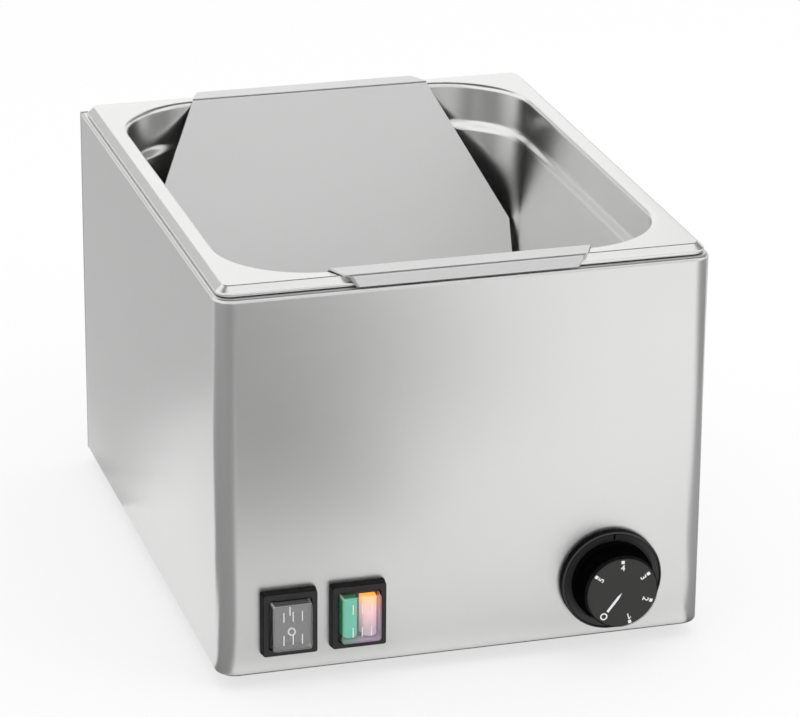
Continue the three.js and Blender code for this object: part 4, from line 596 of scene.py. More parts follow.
def pan_skin():
    half_x, half_y, corner = PAN_HALF_X - PAN_FLANGE, PAN_HALF_Y - PAN_FLANGE, 0.050
    edge_radius, floor_radius = 0.003, 0.018
    shoulder, step_in, draft = 0.025, 0.003, 0.006
    wall_bottom = PAN_DEPTH - PAN_SHEET - floor_radius

    def skin(grow):
        """The wall's line from the flange down, as (inset, depth), grown outwards by the sheet."""
        for at in range(7):
            angle = at / 6 * pi / 2
            radius = edge_radius - grow
            yield -edge_radius + radius * sin(angle), edge_radius - radius * cos(angle)
        yield -grow, shoulder - step_in - 0.001
        for at in range(9):
            share = at / 8
            ease = share * share * (3 - 2 * share)
            yield ease * step_in - grow, shoulder - step_in + share * 2 * step_in
        lean = draft / (wall_bottom - shoulder)
        for at in range(1, 6):
            depth = shoulder + step_in + (wall_bottom - shoulder - step_in) * at / 6
            yield step_in + lean * (depth - shoulder) - grow, depth
        inset = step_in + draft + floor_radius
        for at in range(13):
            angle = at / 12 * pi / 2
            radius = floor_radius + grow
            yield inset - radius * cos(angle), wall_bottom + radius * sin(angle)

    def inside(inset, depth):
        return half_x - inset, half_y - inset, corner - inset, PAN_TOP - depth

    def brim(inset, drop):
        corner = max(RIM_CORNER - inset, RIM_LEAST)
        return PAN_HALF_X - inset, PAN_HALF_Y - inset, corner, PAN_TOP - drop

    under = [brim(0.0045, PAN_SHEET), brim(0.0040, PAN_SHEET + 0.0002), brim(0.0016, PAN_SHEET + 0.0022)]
    turns = [at / 8 * pi for at in range(9)]
    curl = [brim(RIM_BEAD + RIM_BEAD * cos(turn), 0.0045 + RIM_BEAD * sin(turn)) for turn in turns]
    over = [brim(0.0, 0.0036), brim(0.0003, 0.0032), brim(0.0007, 0.0029)]
    over += [brim(0.0034, 0.0004), brim(0.0038, 0.0001), brim(0.0043, 0.0)]
    rings = [inside(*point) for point in reversed(list(skin(PAN_SHEET)))]
    rings += [*under, *curl, *over, *(inside(*point) for point in skin(0.0))]
    return draw_skin(rings, steps=20)


make_piece("pan_shell", pan_skin(), [pan_steel], "pan", "pan_steel", "food_pan", crease=50)

# Chip insert: one matt stainless sheet folded into a trough with a perforated floor. Its two ends lie on the
# pan's flange and are hooked over it.
INSERT_SHEET = 0.001
INSERT_LIE = PAN_TOP + 0.0005
INSERT_DEPTH = 0.134
INSERT_FLOOR = INSERT_LIE - INSERT_DEPTH
END_SLOPE = 1.9128
BEND_Y, HOOK_Y = 0.1505, 0.1638
FLOOR_Y = BEND_Y - INSERT_DEPTH / END_SLOPE
FLOOR_HALF, WIDEST_HALF, HOOK_HALF = 0.108, 0.111, 0.071
WIDEST_DEPTH = 0.075
FOLD_REACH = 0.0011
HOLE_RADIUS, HOLE_PITCH, HOLE_EDGE = 0.005, 0.024, 0.0203
insert_steel = Finish("matt stainless sheet", (0.78, 0.78, 0.777), 0.42, metallic=1.0)
rolled = insert_steel.noise(1200.0, 2.0, (1.0, 0.05, 0.05))
patch = insert_steel.noise(20.0, 2.0)
insert_steel.tint(patch * 0.3, (0.74, 0.74, 0.737))
insert_steel.gloss(0.30 + rolled * 0.06 + patch * 0.05)
insert_steel.relief(rolled, 0.00002, 0.2)


def raise_outline(corners, rise):
    """A flat outline raised into a solid."""
    shape = bmesh.new()
    shape.faces.new([shape.verts.new(corner) for corner in corners])
    grown = bmesh.ops.extrude_face_region(shape, geom=list(shape.faces))["geom"]
    raised = [corner for corner in grown if isinstance(corner, bmesh.types.BMVert)]
    bmesh.ops.translate(shape, vec=rise, verts=raised)
    bmesh.ops.recalc_face_normals(shape, faces=shape.faces)
    return shape


def folded_line():
    """The sheet seen from the side, from hook to hook, with a small bend at each fold."""
    half = [(HOOK_Y + 0.0016, INSERT_LIE - 0.0053), (HOOK_Y, INSERT_LIE), (BEND_Y, INSERT_LIE)]
    half += [(FLOOR_Y, INSERT_FLOOR)]
    line = [Vector((-y, z)) for y, z in half] + [Vector(point) for point in reversed(half)]
    yield line[0]
    for before, here, after in zip(line, line[1:], line[2:]):
        start = here + (before - here).normalized() * FOLD_REACH
        end = here + (after - here).normalized() * FOLD_REACH
        for at in range(6):
            share = at / 5
            yield start * (1 - share) ** 2 + here * 2 * share * (1 - share) + end * share ** 2
    yield line[-1]


def insert_shape():
    widest = PAN_HALF_X
    shape = bmesh.new()
    verts = [shape.verts.new((-widest, y, z)) for y, z in folded_line()]
    edges = [shape.edges.new(pair) for pair in zip(verts, verts[1:])]
    made = bmesh.ops.extrude_edge_only(shape, edges=edges)["geom"]
    far_side = [corner for corner in made if isinstance(corner, bmesh.types.BMVert)]
    bmesh.ops.translate(shape, vec=(2 * widest, 0, 0), verts=far_side)
    bmesh.ops.recalc_face_normals(shape, faces=shape.faces)
    if sum(face.normal.z * face.calc_area() for face in shape.faces) > 0:
        bmesh.ops.reverse_faces(shape, faces=shape.faces)
    bmesh.ops.solidify(shape, geom=list(shape.faces), thickness=INSERT_SHEET)
    bmesh.ops.recalc_face_normals(shape, faces=shape.faces)

    below, above, widest_z = INSERT_FLOOR - 0.005, INSERT_LIE + 0.005, INSERT_LIE - WIDEST_DEPTH
    front = [(-FLOOR_HALF, below), (FLOOR_HALF, below), (WIDEST_HALF, widest_z), (HOOK_HALF, INSERT_LIE)]
    front += [(HOOK_HALF, above), (-HOOK_HALF, above), (-HOOK_HALF, INSERT_LIE), (-WIDEST_HALF, widest_z)]
    front_tool = raise_outline([(x, 0.2, z) for x, z in front], (0, -0.4, 0))
    plan = [(widest, BEND_Y), (HOOK_HALF, BEND_Y), (0.0662, HOOK_Y - 0.0026), (0.0655, HOOK_Y - 0.0014)]
    plan += [(0.0643, HOOK_Y - 0.0004), (0.0625, HOOK_Y + 0.0006), (0.0590, HOOK_Y + 0.0020)]
    plan += [(0.0590, HOOK_Y + 0.0060)]
    plan += [(-x, y) for x, y in reversed(plan)]
    plan += [(-x, -y) for x, y in plan]
    plan_tool = raise_outline([(x, y, 0) for x, y in plan], (0, 0, PAN_TOP + 0.005))
    holes = bmesh.new()
    row_pitch = 2 * (FLOOR_Y - HOLE_EDGE) / 5
    for column in range(8):
        for row in range(6):
            x, y = (column - 3.5) * HOLE_PITCH, (row - 2.5) * row_pitch
            add_rod(holes, HOLE_RADIUS, 0.008, Matrix.Translation((x, y, INSERT_FLOOR - 0.004)), 24)
    shape = cut_away(shape, front_tool, operation="INTERSECT")
    shape = cut_away(shape, plan_tool, operation="INTERSECT")
    return cut_away(shape, holes)


make_piece("trough_sheet", insert_shape(), [insert_steel], "insert", "insert_steel", "chip_insert", crease=30)

# Cover frames: a black moulded hoop round each switch, standing on the panel, with slanting sides, a flat
# front and a window.
FRAME_DEPTH = 0.0055
black_plastic = Finish("black moulded plastic", (0.003, 0.003, 0.003), 0.36, specular_ior_level=0.06)
grain = black_plastic.noise(1800.0, 2.0)
worn = black_plastic.noise(60.0, 3.0)
black_plastic.tint(worn * 0.5, (0.007, 0.007, 0.007))
black_plastic.gloss(0.32 + worn * 0.10)
black_plastic.relief(grain, 0.00002, 0.25)
frame_face = Finish("grained black face", (0.022, 0.022, 0.022), 0.5, specular_ior_level=0.3)
leather = frame_face.noise(1600.0, 3.0)
frame_face.tint(leather * 0.5, (0.032, 0.031, 0.032))
frame_face.relief(leather, 0.00004, 0.45)


def frame_skin():
    half_x, half_y, outer_corner = 0.0152, 0.0182, 0.0013
    window_x, window_y, corner = 0.0115, 0.0140, 0.0015
    rebate_x, rebate_y, rebate_top = 0.0128, 0.0158, 0.0029
    seat, slant, edge = 0.0003, 0.0005, 0.0003
    rings = [(rebate_x, rebate_y, corner, seat), (half_x, half_y, outer_corner, seat)]
    for at in range(5):
        angle = at / 4 * pi / 2
        inset = slant + edge * (1 - cos(angle))
        out = FRAME_DEPTH - edge + edge * sin(angle)
        rings.append((half_x - inset, half_y - inset, outer_corner, out))
    rings += [(window_x + edge, window_y + edge, corner + edge, FRAME_DEPTH)]
    rings += [(window_x, window_y, corner, FRAME_DEPTH - edge), (window_x, window_y, corner, rebate_top)]
    rings += [(rebate_x, rebate_y, corner, rebate_top)]
    return draw_skin(rings, steps=6, hoop=True)


def frame_finish(face):
    """The flat front is grained, the rest is plain."""
    in_front = face.center.y < CASE_FRONT - FRAME_DEPTH + 0.0002
    return 1 if abs(face.normal.y) > 0.95 and in_front else 0


for name, (x, z) in (("rocker", ROCKER_SPOT), ("lamp", LAMP_SPOT)):
    make_piece(
        f"{name}_bezel", frame_skin(), [black_plastic, frame_face], "casing", "black_plastic",
        f"{name}_frame", place=out_of_panel(x, z), crease=30, finish_of=frame_finish,
    )

# Rocker: a black V-shaped paddle that rocks on a pin in the switch's housing, marked with a white I and O.
# Paddle and housing are moulded in black polyamide, and the housing clips into the panel.
ROCKER_TILT = radians(10)
ROCKER_SLOPE = 0.1763
ROCKER_HALF_X, ROCKER_HALF_Y = 0.0095, 0.0113
ROCKER_PLACE = out_of_panel(*ROCKER_SPOT, out=-0.0016) @ Matrix.Rotation(-ROCKER_TILT, 4, "X")
ROCKER_PRINT, PRINT_SINK = 0.00007, 0.00002
dark_plastic = Finish("black polyamide", (0.030, 0.030, 0.030), 0.45)
speck = dark_plastic.noise(1400.0, 2.0)
dark_plastic.tint(speck * 0.4, (0.042, 0.042, 0.042))
dark_plastic.relief(speck, 0.00003, 0.35)
white_print = Finish("white print", (0.92, 0.92, 0.91), 0.5)
thin = white_print.noise(2500.0, 2.0)
white_print.tint(thin * 0.4, (0.80, 0.80, 0.79))
white_print.relief(thin, 0.00001, 0.3)
finish_node(dark_plastic, "rocker_housing", "lamp_housing")


def rocker_height(y):
    """How far the paddle's face stands out of its axis, at a height above its middle."""
    return 0.0046 + abs(y) * ROCKER_SLOPE


def round_edges(shape, radius):
    """Rounds the sharp edges of a moulded shape."""
    sharp = [edge for edge in shape.edges if edge.calc_face_angle(0) > radians(35)]
    bmesh.ops.bevel(
        shape, geom=sharp, offset=radius, affect="EDGES", segments=3, profile=0.5, material=-1,
    )


def rocker_shape():
    half, tip = ROCKER_HALF_Y, rocker_height(ROCKER_HALF_Y)
    side = [(half, tip), (half, tip - 0.0024), (0.005, -0.0035), (-0.005, -0.0035), (-half, tip - 0.0024)]
    side += [(-half, tip), *((y / 1000, rocker_height(y / 1000)) for y in (-8, -5, -2.5))]
    side += [(0, rocker_height(0) + 0.0001), *((y / 1000, rocker_height(y / 1000)) for y in (2.5, 5, 8))]
    shape = raise_outline([(-ROCKER_HALF_X, y, out) for y, out in side], (2 * ROCKER_HALF_X, 0, 0))
    round_edges(shape, 0.0004)
    return shape


make_piece(
    "rocker_key", rocker_shape(), [dark_plastic], "rocker", "housing_plastic", "rocker_paddle",
    place=ROCKER_PLACE,
)


def print_ring(radius, stroke, thickness):
    shape = bmesh.new()
    inner = radius - stroke
    spin_profile(shape, [(inner, 0), (radius, 0), (radius, thickness), (inner, thickness)], 40)
    return shape


def print_bar(width, height, thickness):
    shape = bmesh.new()
    add_block(shape, (-width / 2, -height / 2, 0), (width / 2, height / 2, thickness))
    return shape


def on_rocker(x, y):
    lean = atan2(ROCKER_SLOPE, 1) * (1 if y > 0 else -1)
    spot = Matrix.Translation((x, y, rocker_height(y) - PRINT_SINK))
    return ROCKER_PLACE @ spot @ Matrix.Rotation(lean, 4, "X")


for name, shape, x, y in (
    ("on", print_bar(0.0008, 0.0050, ROCKER_PRINT), 0.0004, 0.0053),
    ("off", print_ring(0.0022, 0.0008, ROCKER_PRINT), 0.0008, -0.0058),
):
    make_piece(f"rocker_mark_{name}", shape, [white_print], "rocker", None, place=on_rocker(x, y))

# Lamp: two lenses of translucent plastic, green and orange, side by side in one housing. Each is crowned
# across its width. The orange one glows at its upper end. The green one's glow, dim near its foot and
# strong at its crown, is painted light.
LENS_HALF_X, LENS_HALF_Y = 0.00435, 0.011
LENS_REACH, LENS_CROWN, LENS_DRAFT = 0.008, 0.002, 19
LENS_APART = 0.00535
green_lens = Finish(
    "translucent green", (0.01, 0.22, 0.11), 0.2, transmission_weight=0.15, emission_strength=1.0,
)
green_lens.tint(green_lens.noise(500.0, 2.0) * 0.5, (0.02, 0.28, 0.15))
# Painted glow: the green lens glows dimly near its foot and more strongly towards its crown, as if lit.
crown_glow = green_lens.ramp(green_lens.along("Y"), CASE_FRONT - 0.0058, CASE_FRONT - 0.0068)
green_lens.glow(green_lens.blend(crown_glow, (0.0, 0.07, 0.025, 1.0), (0.02, 0.31, 0.22)))
orange_lens = Finish(
    "translucent orange, lit", (0.50, 0.36, 0.40), 0.2, transmission_weight=0.1, emission_strength=1.0,
)
orange_lens.tint(orange_lens.noise(500.0, 2.0) * 0.5, (0.56, 0.38, 0.40))
height = orange_lens.along("Z")
lit = orange_lens.ramp(height, 0.030, 0.041)
hot = orange_lens.ramp(height, 0.0425, 0.0478)
pink = orange_lens.blend(lit, (0.17, 0.14, 0.19, 1.0), (0.62, 0.33, 0.30))
orange_lens.glow(orange_lens.blend(hot, pink, (1.0, 0.42, 0.02)))


def lens_shape():
    radius = (LENS_HALF_X ** 2 + LENS_CROWN ** 2) / (2 * LENS_CROWN)
    spread = pi / 2 - atan2(radius - LENS_CROWN, LENS_HALF_X)
    side = [(-LENS_HALF_X, -0.0012), (LENS_HALF_X, -0.0012)]
    for at in range(15):
        angle = spread * (1 - at / 7)
        side.append((radius * sin(angle), LENS_REACH - radius + radius * cos(angle)))
    foot = [(x * (1 - max(out, 0) * LENS_DRAFT), -LENS_HALF_Y, out) for x, out in side]
    shape = raise_outline(foot, (0, 2 * LENS_HALF_Y, 0))
    round_edges(shape, 0.0005)
    return shape


for name, side, finish in (("green", -1, green_lens), ("orange", 1, orange_lens)):
    make_piece(
        f"lens_{name}", lens_shape(), [finish], "casing", f"{name}_lens", f"lamp_lens_{name}",
        place=out_of_panel(*LAMP_SPOT) @ Matrix.Translation((side * LENS_APART, 0, 0)), crease=30,
    )

# Splash covers: caps of clear soft plastic over both switches, each moulded in one piece with a flange that
# is trapped under its frame. Three pairs of short ribs stand on the front, white as a painted highlight.
COVER_HALF_X, COVER_HALF_Y, COVER_REACH = 0.0112, 0.0137, 0.0107
COVER_WALL, COVER_CORNER, COVER_EDGE, COVER_DRAFT = 0.0007, 0.0015, 0.0005, 0.0006
COVER_FLANGE = (0.0125, 0.0155, COVER_CORNER)
RIB_HALF_X, RIB_HALF_Y = 0.0003, 0.0028


def soft_plastic(name, colour, alpha, roughness):
    finish = Finish(name, colour, roughness, alpha=alpha)
    finish.gloss(roughness + finish.noise(300.0, 2.0) * 0.05)
    return finish


clear_wall = soft_plastic("clear soft plastic", (0.60, 0.60, 0.61), 0.035, 0.05)
# Painted highlight: the caps' edges and corners are whiter and less clear than their walls.
edge_highlight = soft_plastic("soft plastic edge, painted highlight", (0.88, 0.88, 0.88), 0.30, 0.10)
hazy_front = soft_plastic("hazy soft plastic", (0.84, 0.84, 0.84), 0.16, 0.08)
clean_front = soft_plastic("clean soft plastic", (0.84, 0.82, 0.84), 0.11, 0.08)
# Painted light: two walls of the lamp's cap take the lenses' light, mint towards the green lens, orange
# above.
lit_wall = Finish("soft plastic, painted lens light", (0.78, 0.62, 0.80), 0.2, alpha=0.62)
left = lit_wall.ramp(lit_wall.along("X"), LAMP_SPOT[0], LAMP_SPOT[0] - 0.01)
upper = lit_wall.ramp(lit_wall.along("Z"), LAMP_SPOT[1] + 0.002, LAMP_SPOT[1] + 0.012)
mint = lit_wall.tint(left, (0.22, 0.62, 0.48))
lit_wall.tint(upper, (1.0, 0.42, 0.28), mint)
# Painted highlight: the ribs are white to stand for the light they catch.
rib_highlight = Finish("rib, painted highlight", (0.85, 0.85, 0.84), 0.3)
rib_highlight.gloss(0.25 + rib_highlight.noise(900.0, 2.0) * 0.15)


def cover_shape():
    """The cap's inner skin and outer skin, joined round its flange, with a closed front."""

    def front_edge(wall, corner, edge):
        """A skin's front edge, from its side to its face."""
        for at in range(6):
            angle = at / 5 * pi / 2
            inset = COVER_DRAFT + wall + edge * (1 - cos(angle))
            out = COVER_REACH - wall - edge * (1 - sin(angle))
            yield COVER_HALF_X - inset, COVER_HALF_Y - inset, corner, out

    foot_low, foot_high = 0.0018, 0.0026
    inner_corner = COVER_CORNER * 0.7
    rings = [*reversed(list(front_edge(COVER_WALL, inner_corner, 0.0003)))]
    rings += [(COVER_HALF_X - COVER_WALL, COVER_HALF_Y - COVER_WALL, inner_corner, foot_low)]
    rings += [(*COVER_FLANGE, foot_low), (*COVER_FLANGE, foot_high)]
    rings += [(COVER_HALF_X, COVER_HALF_Y, COVER_CORNER, foot_high)]
    rings += front_edge(0.0, COVER_CORNER, COVER_EDGE)
    return draw_skin(rings, steps=5)


def rib_shape():
    shape = bmesh.new()
    for column in (-1, 0, 1):
        for row in (-1, 1):
            x, y = column * 0.005, row * 0.0066
            low = (x - RIB_HALF_X, y - RIB_HALF_Y, COVER_REACH + 0.00002)
            add_block(shape, low, (x + RIB_HALF_X, y + RIB_HALF_Y, COVER_REACH + 0.00028))
    bmesh.ops.bevel(
        shape, geom=list(shape.edges), offset=0.0001, affect="EDGES", segments=2, profile=0.5, material=-1,
    )
    return shape


def cover_finish(face, lamp):
    """The face, its edge and the corners show; the edge and the corners are a painted highlight. The lamp's
    cap has two walls with painted light from the lenses.
    """
    out = CASE_FRONT - face.center.y
    if abs(face.normal.y) > 0.9:
        return 2 if out > COVER_REACH - COVER_WALL - 0.0001 else 0
    if out > COVER_REACH - COVER_EDGE:
        return 1 if face.normal.y < 0 else 0
    right, low = LAMP_SPOT[0] + COVER_HALF_X - 0.0014, LAMP_SPOT[1] - COVER_HALF_Y + 0.0015
    if lamp and (face.center.x > right or face.center.z < low):
        return 3
    return 1 if abs(face.normal.x * face.normal.z) > 0.35 else 0


for name, (x, z), front in (("rocker", ROCKER_SPOT, hazy_front), ("lamp", LAMP_SPOT, clean_front)):
    make_piece(
        f"{name}_splash_cap", cover_shape(), [clear_wall, edge_highlight, front, lit_wall], "casing",
        "clear_cover", f"{name}_cover", place=out_of_panel(x, z), crease=60,
        finish_of=lambda face, lamp=name == "lamp": cover_finish(face, lamp),
    )
    make_piece(
        f"{name}_cap_ribs", rib_shape(), [rib_highlight], "casing", "clear_cover", place=out_of_panel(x, z),
    )

# Knob ring: a dark moulded bezel behind the knob, with an upright side, a thin groove inside its crest and a
# face that falls towards the knob. A notch at the top of the face is the index. Faces that look outwards are
# the ring's dark grey; its side is painted near black as shade.
RING_LOW, RING_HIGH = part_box("knob_ring")
RING_RADIUS = (RING_HIGH.x - RING_LOW.x) / 2
RING_GROOVE = RING_RADIUS - 0.0011
RING_SEAT = 0.0003
# Painted shade: the ring's side is near black and dull, while the faces that look outwards keep the ring's
# grey.
ring_side_shade = Finish("ring side, painted shade", (0.002, 0.002, 0.002), 0.6, specular_ior_level=0.04)
ring_side_shade.tint(ring_side_shade.noise(900.0, 2.0) * 0.6, (0.004, 0.004, 0.004))
ring_side_shade.relief(ring_side_shade.noise(1800.0, 2.0), 0.00003, 0.35)
ring_plastic = Finish("dark grey moulded plastic", (0.024, 0.024, 0.024), 0.42)
moulded = ring_plastic.noise(1800.0, 2.0)
ring_plastic.tint(moulded * 0.4, (0.036, 0.036, 0.036))
ring_plastic.relief(moulded, 0.00003, 0.35)


def ring_shape():
    profile = [(SPINDLE_HOLE, RING_SEAT), (RING_RADIUS, RING_SEAT), (RING_RADIUS, 0.0040)]
    profile += [(RING_RADIUS - 0.0001, 0.0043), (RING_RADIUS - 0.0005, 0.0049)]
    profile += [(RING_RADIUS - 0.0008, 0.0050), (RING_GROOVE + 0.0001, 0.0050)]
    profile += [(RING_GROOVE, 0.0048), (RING_GROOVE - 0.0001, 0.0040)]
    profile += [(RING_GROOVE - 0.0004, 0.0040), (RING_GROOVE - 0.0005, 0.0045), (0.0235, 0.0039)]
    profile += [(0.0234, 0.0037), (0.0234, 0.0030), (SPINDLE_HOLE, 0.0030)]
    shape = bmesh.new()
    spin_profile(shape, profile, 120)
    notch = bmesh.new()
    add_block(notch, (0.0003, RING_GROOVE - 0.0036, 0.0022), (0.0013, RING_GROOVE - 0.0003, 0.01))
    return cut_away(shape, notch)


make_piece(
    "dial_ring", ring_shape(), [ring_side_shade, ring_plastic], "casing", "black_plastic", "knob_ring",
    place=out_of_panel(*KNOB_SPOT), finish_of=lambda face: 1 if face.normal.y < -0.5 else 0,
)

# Temperature knob: a dark grey cap with fine teeth round its rim. White figures are printed on its face, with
# a square at each, and a pointer runs from its middle to the off mark.
KNOB_PLACE = out_of_panel(*KNOB_SPOT)
KNOB_TEETH = 105
KNOB_FACE = CASE_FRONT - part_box("control_knob")[0].y - 0.0001
KNOB_RADIUS = 0.0203
KNOB_BASE, STEM_RADIUS = 0.0038, 0.006
KNOB_TOOTH = 0.0008
DIAL_PRINT = 0.00006
FIGURE_HEIGHT = 0.0035
OFF_ANGLE = 218
knob_plastic = Finish("dark grey knob face", (0.020, 0.020, 0.019), 0.6)
fine = knob_plastic.noise(2200.0, 2.0)
knob_plastic.tint(fine * 0.4, (0.028, 0.028, 0.027))
knob_plastic.gloss(0.52 + fine * 0.14)
knob_plastic.relief(fine, 0.00004, 0.4)
# Painted shade: the knob's toothed side and its skirt are near black and dull, as if in shadow.
knob_side_shade = Finish("knob side, painted shade", (0.001, 0.001, 0.001), 0.7, specular_ior_level=0.02)
knob_side_shade.tint(knob_side_shade.noise(900.0, 2.0) * 0.6, (0.002, 0.002, 0.002))
knob_side_shade.relief(knob_side_shade.noise(2200.0, 2.0), 0.00003, 0.4)


def lay_teeth(ring, radius, out, tooth):
    """Sets a ring to a circle of teeth. Each has four corners, two high and two low."""
    for at, corner in enumerate(ring):
        angle = at * 2 * pi / len(ring)
        reach = radius - tooth * (at % 4 in (2, 3))
        corner.co = (reach * cos(angle), reach * sin(angle), out)


def draw_toothed(levels, teeth):
    """A skin drawn through toothed circles, open at both ends, with its first and last ring."""
    shape = bmesh.new()
    first = ring = list(bmesh.ops.create_circle(shape, segments=teeth * 4, radius=1)["verts"])
    for at, sizes in enumerate(levels):
        if at:
            ring = draw_on(shape, ring)
        lay_teeth(ring, *sizes)
    return shape, first, ring


def knob_shape():
    levels = [(0.0196, KNOB_BASE, 0), (0.0225, KNOB_BASE, 0), (0.0226, 0.0040, 0), (0.0226, 0.0058, 0)]
    levels += [(0.0221, 0.0064, 0), (0.0211, 0.0065, KNOB_TOOTH)]
    levels += [(KNOB_RADIUS + 0.0001, KNOB_FACE - 0.0020, KNOB_TOOTH)]
    levels += [(KNOB_RADIUS, KNOB_FACE - 0.0008, KNOB_TOOTH)]
    levels += [(KNOB_RADIUS - 0.00005, KNOB_FACE - 0.0003, KNOB_TOOTH)]
    levels += [(KNOB_RADIUS - 0.0003, KNOB_FACE, KNOB_TOOTH), (KNOB_RADIUS - 0.0012, KNOB_FACE, 0)]
    shape, first, last = draw_toothed(levels, KNOB_TEETH)
    shape.faces.new(last)
    inner = draw_on(shape, first)
    lay_teeth(inner, 0.0178, KNOB_FACE - 0.0024, 0)
    shape.faces.new(inner)
    add_rod(shape, STEM_RADIUS, KNOB_FACE - 0.0054, Matrix.Translation((0, 0, KNOB_BASE)))
    bmesh.ops.recalc_face_normals(shape, faces=shape.faces)
    return shape


def knob_finish(face):
    """The face and the teeth's tips near it are the knob's grey, the rest is painted black as shade."""
    out = CASE_FRONT - face.center.y
    reach = (face.center.xz - KNOB_SPOT).length
    tip = out > KNOB_FACE - 0.0022 and reach > KNOB_RADIUS - 0.00012
    return 1 if out > KNOB_FACE - 0.0001 or tip else 0


make_piece(
    "knob_cap", knob_shape(), [knob_side_shade, knob_plastic], "knob", "knob_plastic", "control_knob",
    place=KNOB_PLACE, crease=32, finish_of=knob_finish,
)


def print_outline(corners):
    return raise_outline([(x, y, 0) for x, y in corners], (0, 0, DIAL_PRINT))


def figure_one():
    top, half, flag = FIGURE_HEIGHT / 2, 0.0003, -0.0013
    corners = [(half, -top), (half, top), (-half, top), (flag, top - 0.0008), (flag, top - 0.0014)]
    corners += [(-half, top - 0.0007), (-half, -top)]
    return print_outline(corners)


def figure_shape(text):
    """A figure in the built-in typeface, with its middle at the origin."""
    curve = bpy.data.curves.new("figure", "FONT")
    curve.body = text
    curve.size = FIGURE_HEIGHT * 1.38
    curve.align_x = "CENTER"
    curve.align_y = "CENTER"
    curve.extrude = DIAL_PRINT / 2
    curve.offset = 0.00006
    holder = bpy.data.objects.new("figure", curve)
    bpy.context.scene.collection.objects.link(holder)
    bpy.context.view_layer.update()
    shape = bmesh.new()
    shape.from_mesh(holder.evaluated_get(bpy.context.evaluated_depsgraph_get()).to_mesh())
    bpy.data.objects.remove(holder)
    spans = [[corner.co[axis] for corner in shape.verts] for axis in range(3)]
    centre = Vector([(min(span) + max(span)) / 2 for span in spans])
    bmesh.ops.translate(shape, vec=-centre, verts=shape.verts)
    bmesh.ops.remove_doubles(shape, verts=shape.verts, dist=1e-7)
    return shape


def on_knob(clockwise, reach, lift=0.0):
    """A place on the knob's face, by its angle clockwise from the top, its top turned outwards."""
    turn = Matrix.Rotation(-radians(clockwise), 4, "Z")
    return KNOB_PLACE @ turn @ Matrix.Translation((0, reach, KNOB_FACE + lift))


for text, angle, reach in (
    ("4", 0, 0.0144), ("3", 57, 0.0141), ("2", 111, 0.0143), ("1", 165, 0.0148), ("5", -54, 0.0149),
):
    shape, lift = (figure_one(), 0) if text == "1" else (figure_shape(text), DIAL_PRINT / 2)
    make_piece(f"dial_figure_{text}", shape, [white_print], "knob", None, place=on_knob(angle, reach, lift))
    make_piece(
        f"dial_square_{text}", print_bar(0.0018, 0.0018, DIAL_PRINT), [white_print], "knob", None,
        place=on_knob(angle, reach + 0.0032),
    )
make_piece(
    "dial_off_mark", print_ring(0.00205, 0.00075, DIAL_PRINT), [white_print], "knob", None,
    place=on_knob(OFF_ANGLE, 0.0163),
)
pointer = [(0, 0.0002), (0.0007, 0.0034), (0.0007, 0.0131), (-0.0007, 0.0131), (-0.0007, 0.0034)]
make_piece("dial_pointer", print_outline(pointer), [white_print], "knob", None, place=on_knob(OFF_ANGLE, 0))

# Cable gland at the rear: a black nylon body with a hexagon against the panel and a locknut inside, and a
# ribbed cap with an open bore that is screwed onto the body.
GLAND_PLACE = Matrix.Translation((0.080, PANEL_BACK, 0.034)) @ Matrix.Rotation(-pi / 2, 4, "X")
GLAND_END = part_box("gland_cap")[1].y - PANEL_BACK
GLAND_RIBS, GLAND_RIB = 24, 0.0004


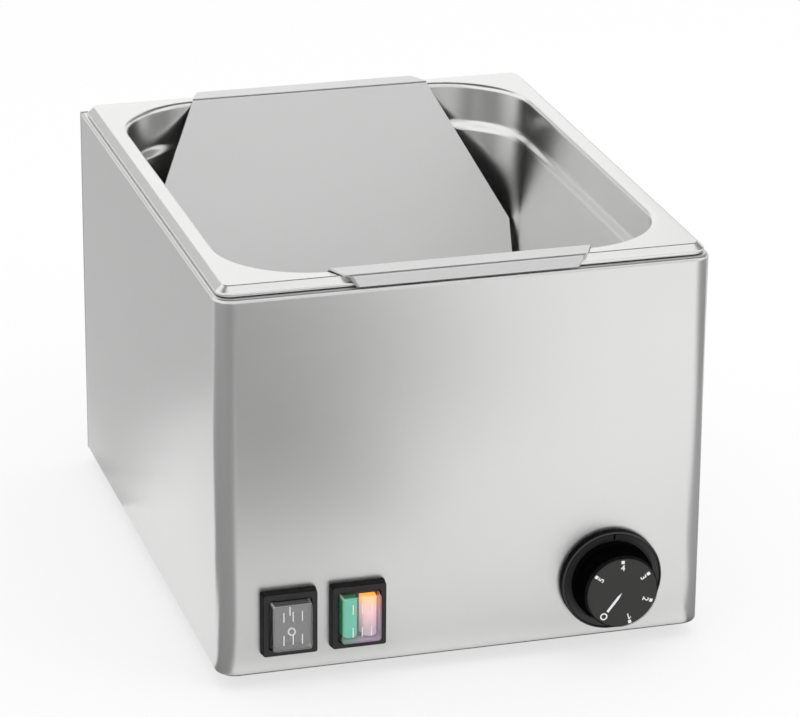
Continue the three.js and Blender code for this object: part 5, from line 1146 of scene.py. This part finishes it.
def gland_cap_shape():
    levels = [(0.0098, 0.0053, 0), (0.0117, 0.0053, 0), (0.0118, 0.0056, GLAND_RIB)]
    levels += [(0.0118, 0.0144, GLAND_RIB), (0.0114, 0.0156, 0.0003), (0.0099, GLAND_END - 0.0022, 0)]
    levels += [(0.0085, GLAND_END - 0.0010, 0), (0.0066, GLAND_END - 0.0001, 0), (0.0050, GLAND_END, 0)]
    levels += [(0.0046, GLAND_END - 0.0003, 0), (0.0045, GLAND_END - 0.0010, 0), (0.0045, 0.0153, 0)]
    levels += [(0.0098, 0.0153, 0)]
    shape, first, last = draw_toothed(levels, GLAND_RIBS)
    join_rings(shape, first, last)
    bmesh.ops.recalc_face_normals(shape, faces=shape.faces)
    return shape


make_piece(
    "gland_nut_cap", gland_cap_shape(), [black_plastic], "casing", "black_plastic", "gland_cap",
    place=GLAND_PLACE,
)
finish_node(black_plastic, "gland_body", "gland_locknut")

# What is inside: the heating element and the mat under it, the sensor and limiter, and the terminals. They
# keep the CAD's shapes, in the finishes of heater tube, brass, copper, ceramic and mineral fibre.
heater_sheath = Finish("oxidised heater tube", (0.16, 0.145, 0.13), 0.5, metallic=0.9)
heated = heater_sheath.noise(120.0, 4.0)
heater_sheath.tint(heated, (0.09, 0.085, 0.10))
heater_sheath.relief(heated, 0.00005, 0.4)
brass = Finish("brass", (0.58, 0.40, 0.14), 0.32, metallic=1.0)
turned_lines = brass.noise(400.0, 2.0)
brass.tint(turned_lines * 0.5, (0.50, 0.33, 0.12))
brass.gloss(0.26 + turned_lines * 0.12)
copper = Finish("drawn copper", (0.52, 0.22, 0.11), 0.35, metallic=1.0)
tarnish = copper.noise(200.0, 3.0)
copper.tint(tarnish * 0.6, (0.36, 0.15, 0.09))
copper.gloss(0.28 + tarnish * 0.16)
steatite = Finish("unglazed ceramic", (0.74, 0.70, 0.60), 0.75)
chalk = steatite.noise(700.0, 3.0)
steatite.tint(chalk * 0.4, (0.66, 0.62, 0.53))
steatite.relief(chalk, 0.00005, 0.5)
fibre = Finish("pressed mineral fibre", (0.78, 0.75, 0.67), 0.95)
strands = fibre.noise(900.0, 5.0, (1.0, 0.25, 1.0))
fibre.tint(strands * 0.6, (0.60, 0.57, 0.49))
fibre.relief(strands, 0.0003, 0.8)
finish_node(heater_sheath, "heating_element")
finish_node(brass, "earth_stud", "earth_nut", *(f"rocker_terminal_{at}" for at in (1, 2, 3, 4)))
finish_node(brass, *(f"lamp_terminal_{at}" for at in (1, 2, 3)))
finish_node(copper, "sensor_bulb", "sensor_capillary")
finish_node(steatite, "thermal_limiter", "terminal_block")
finish_node(fibre, "insulation_mat")
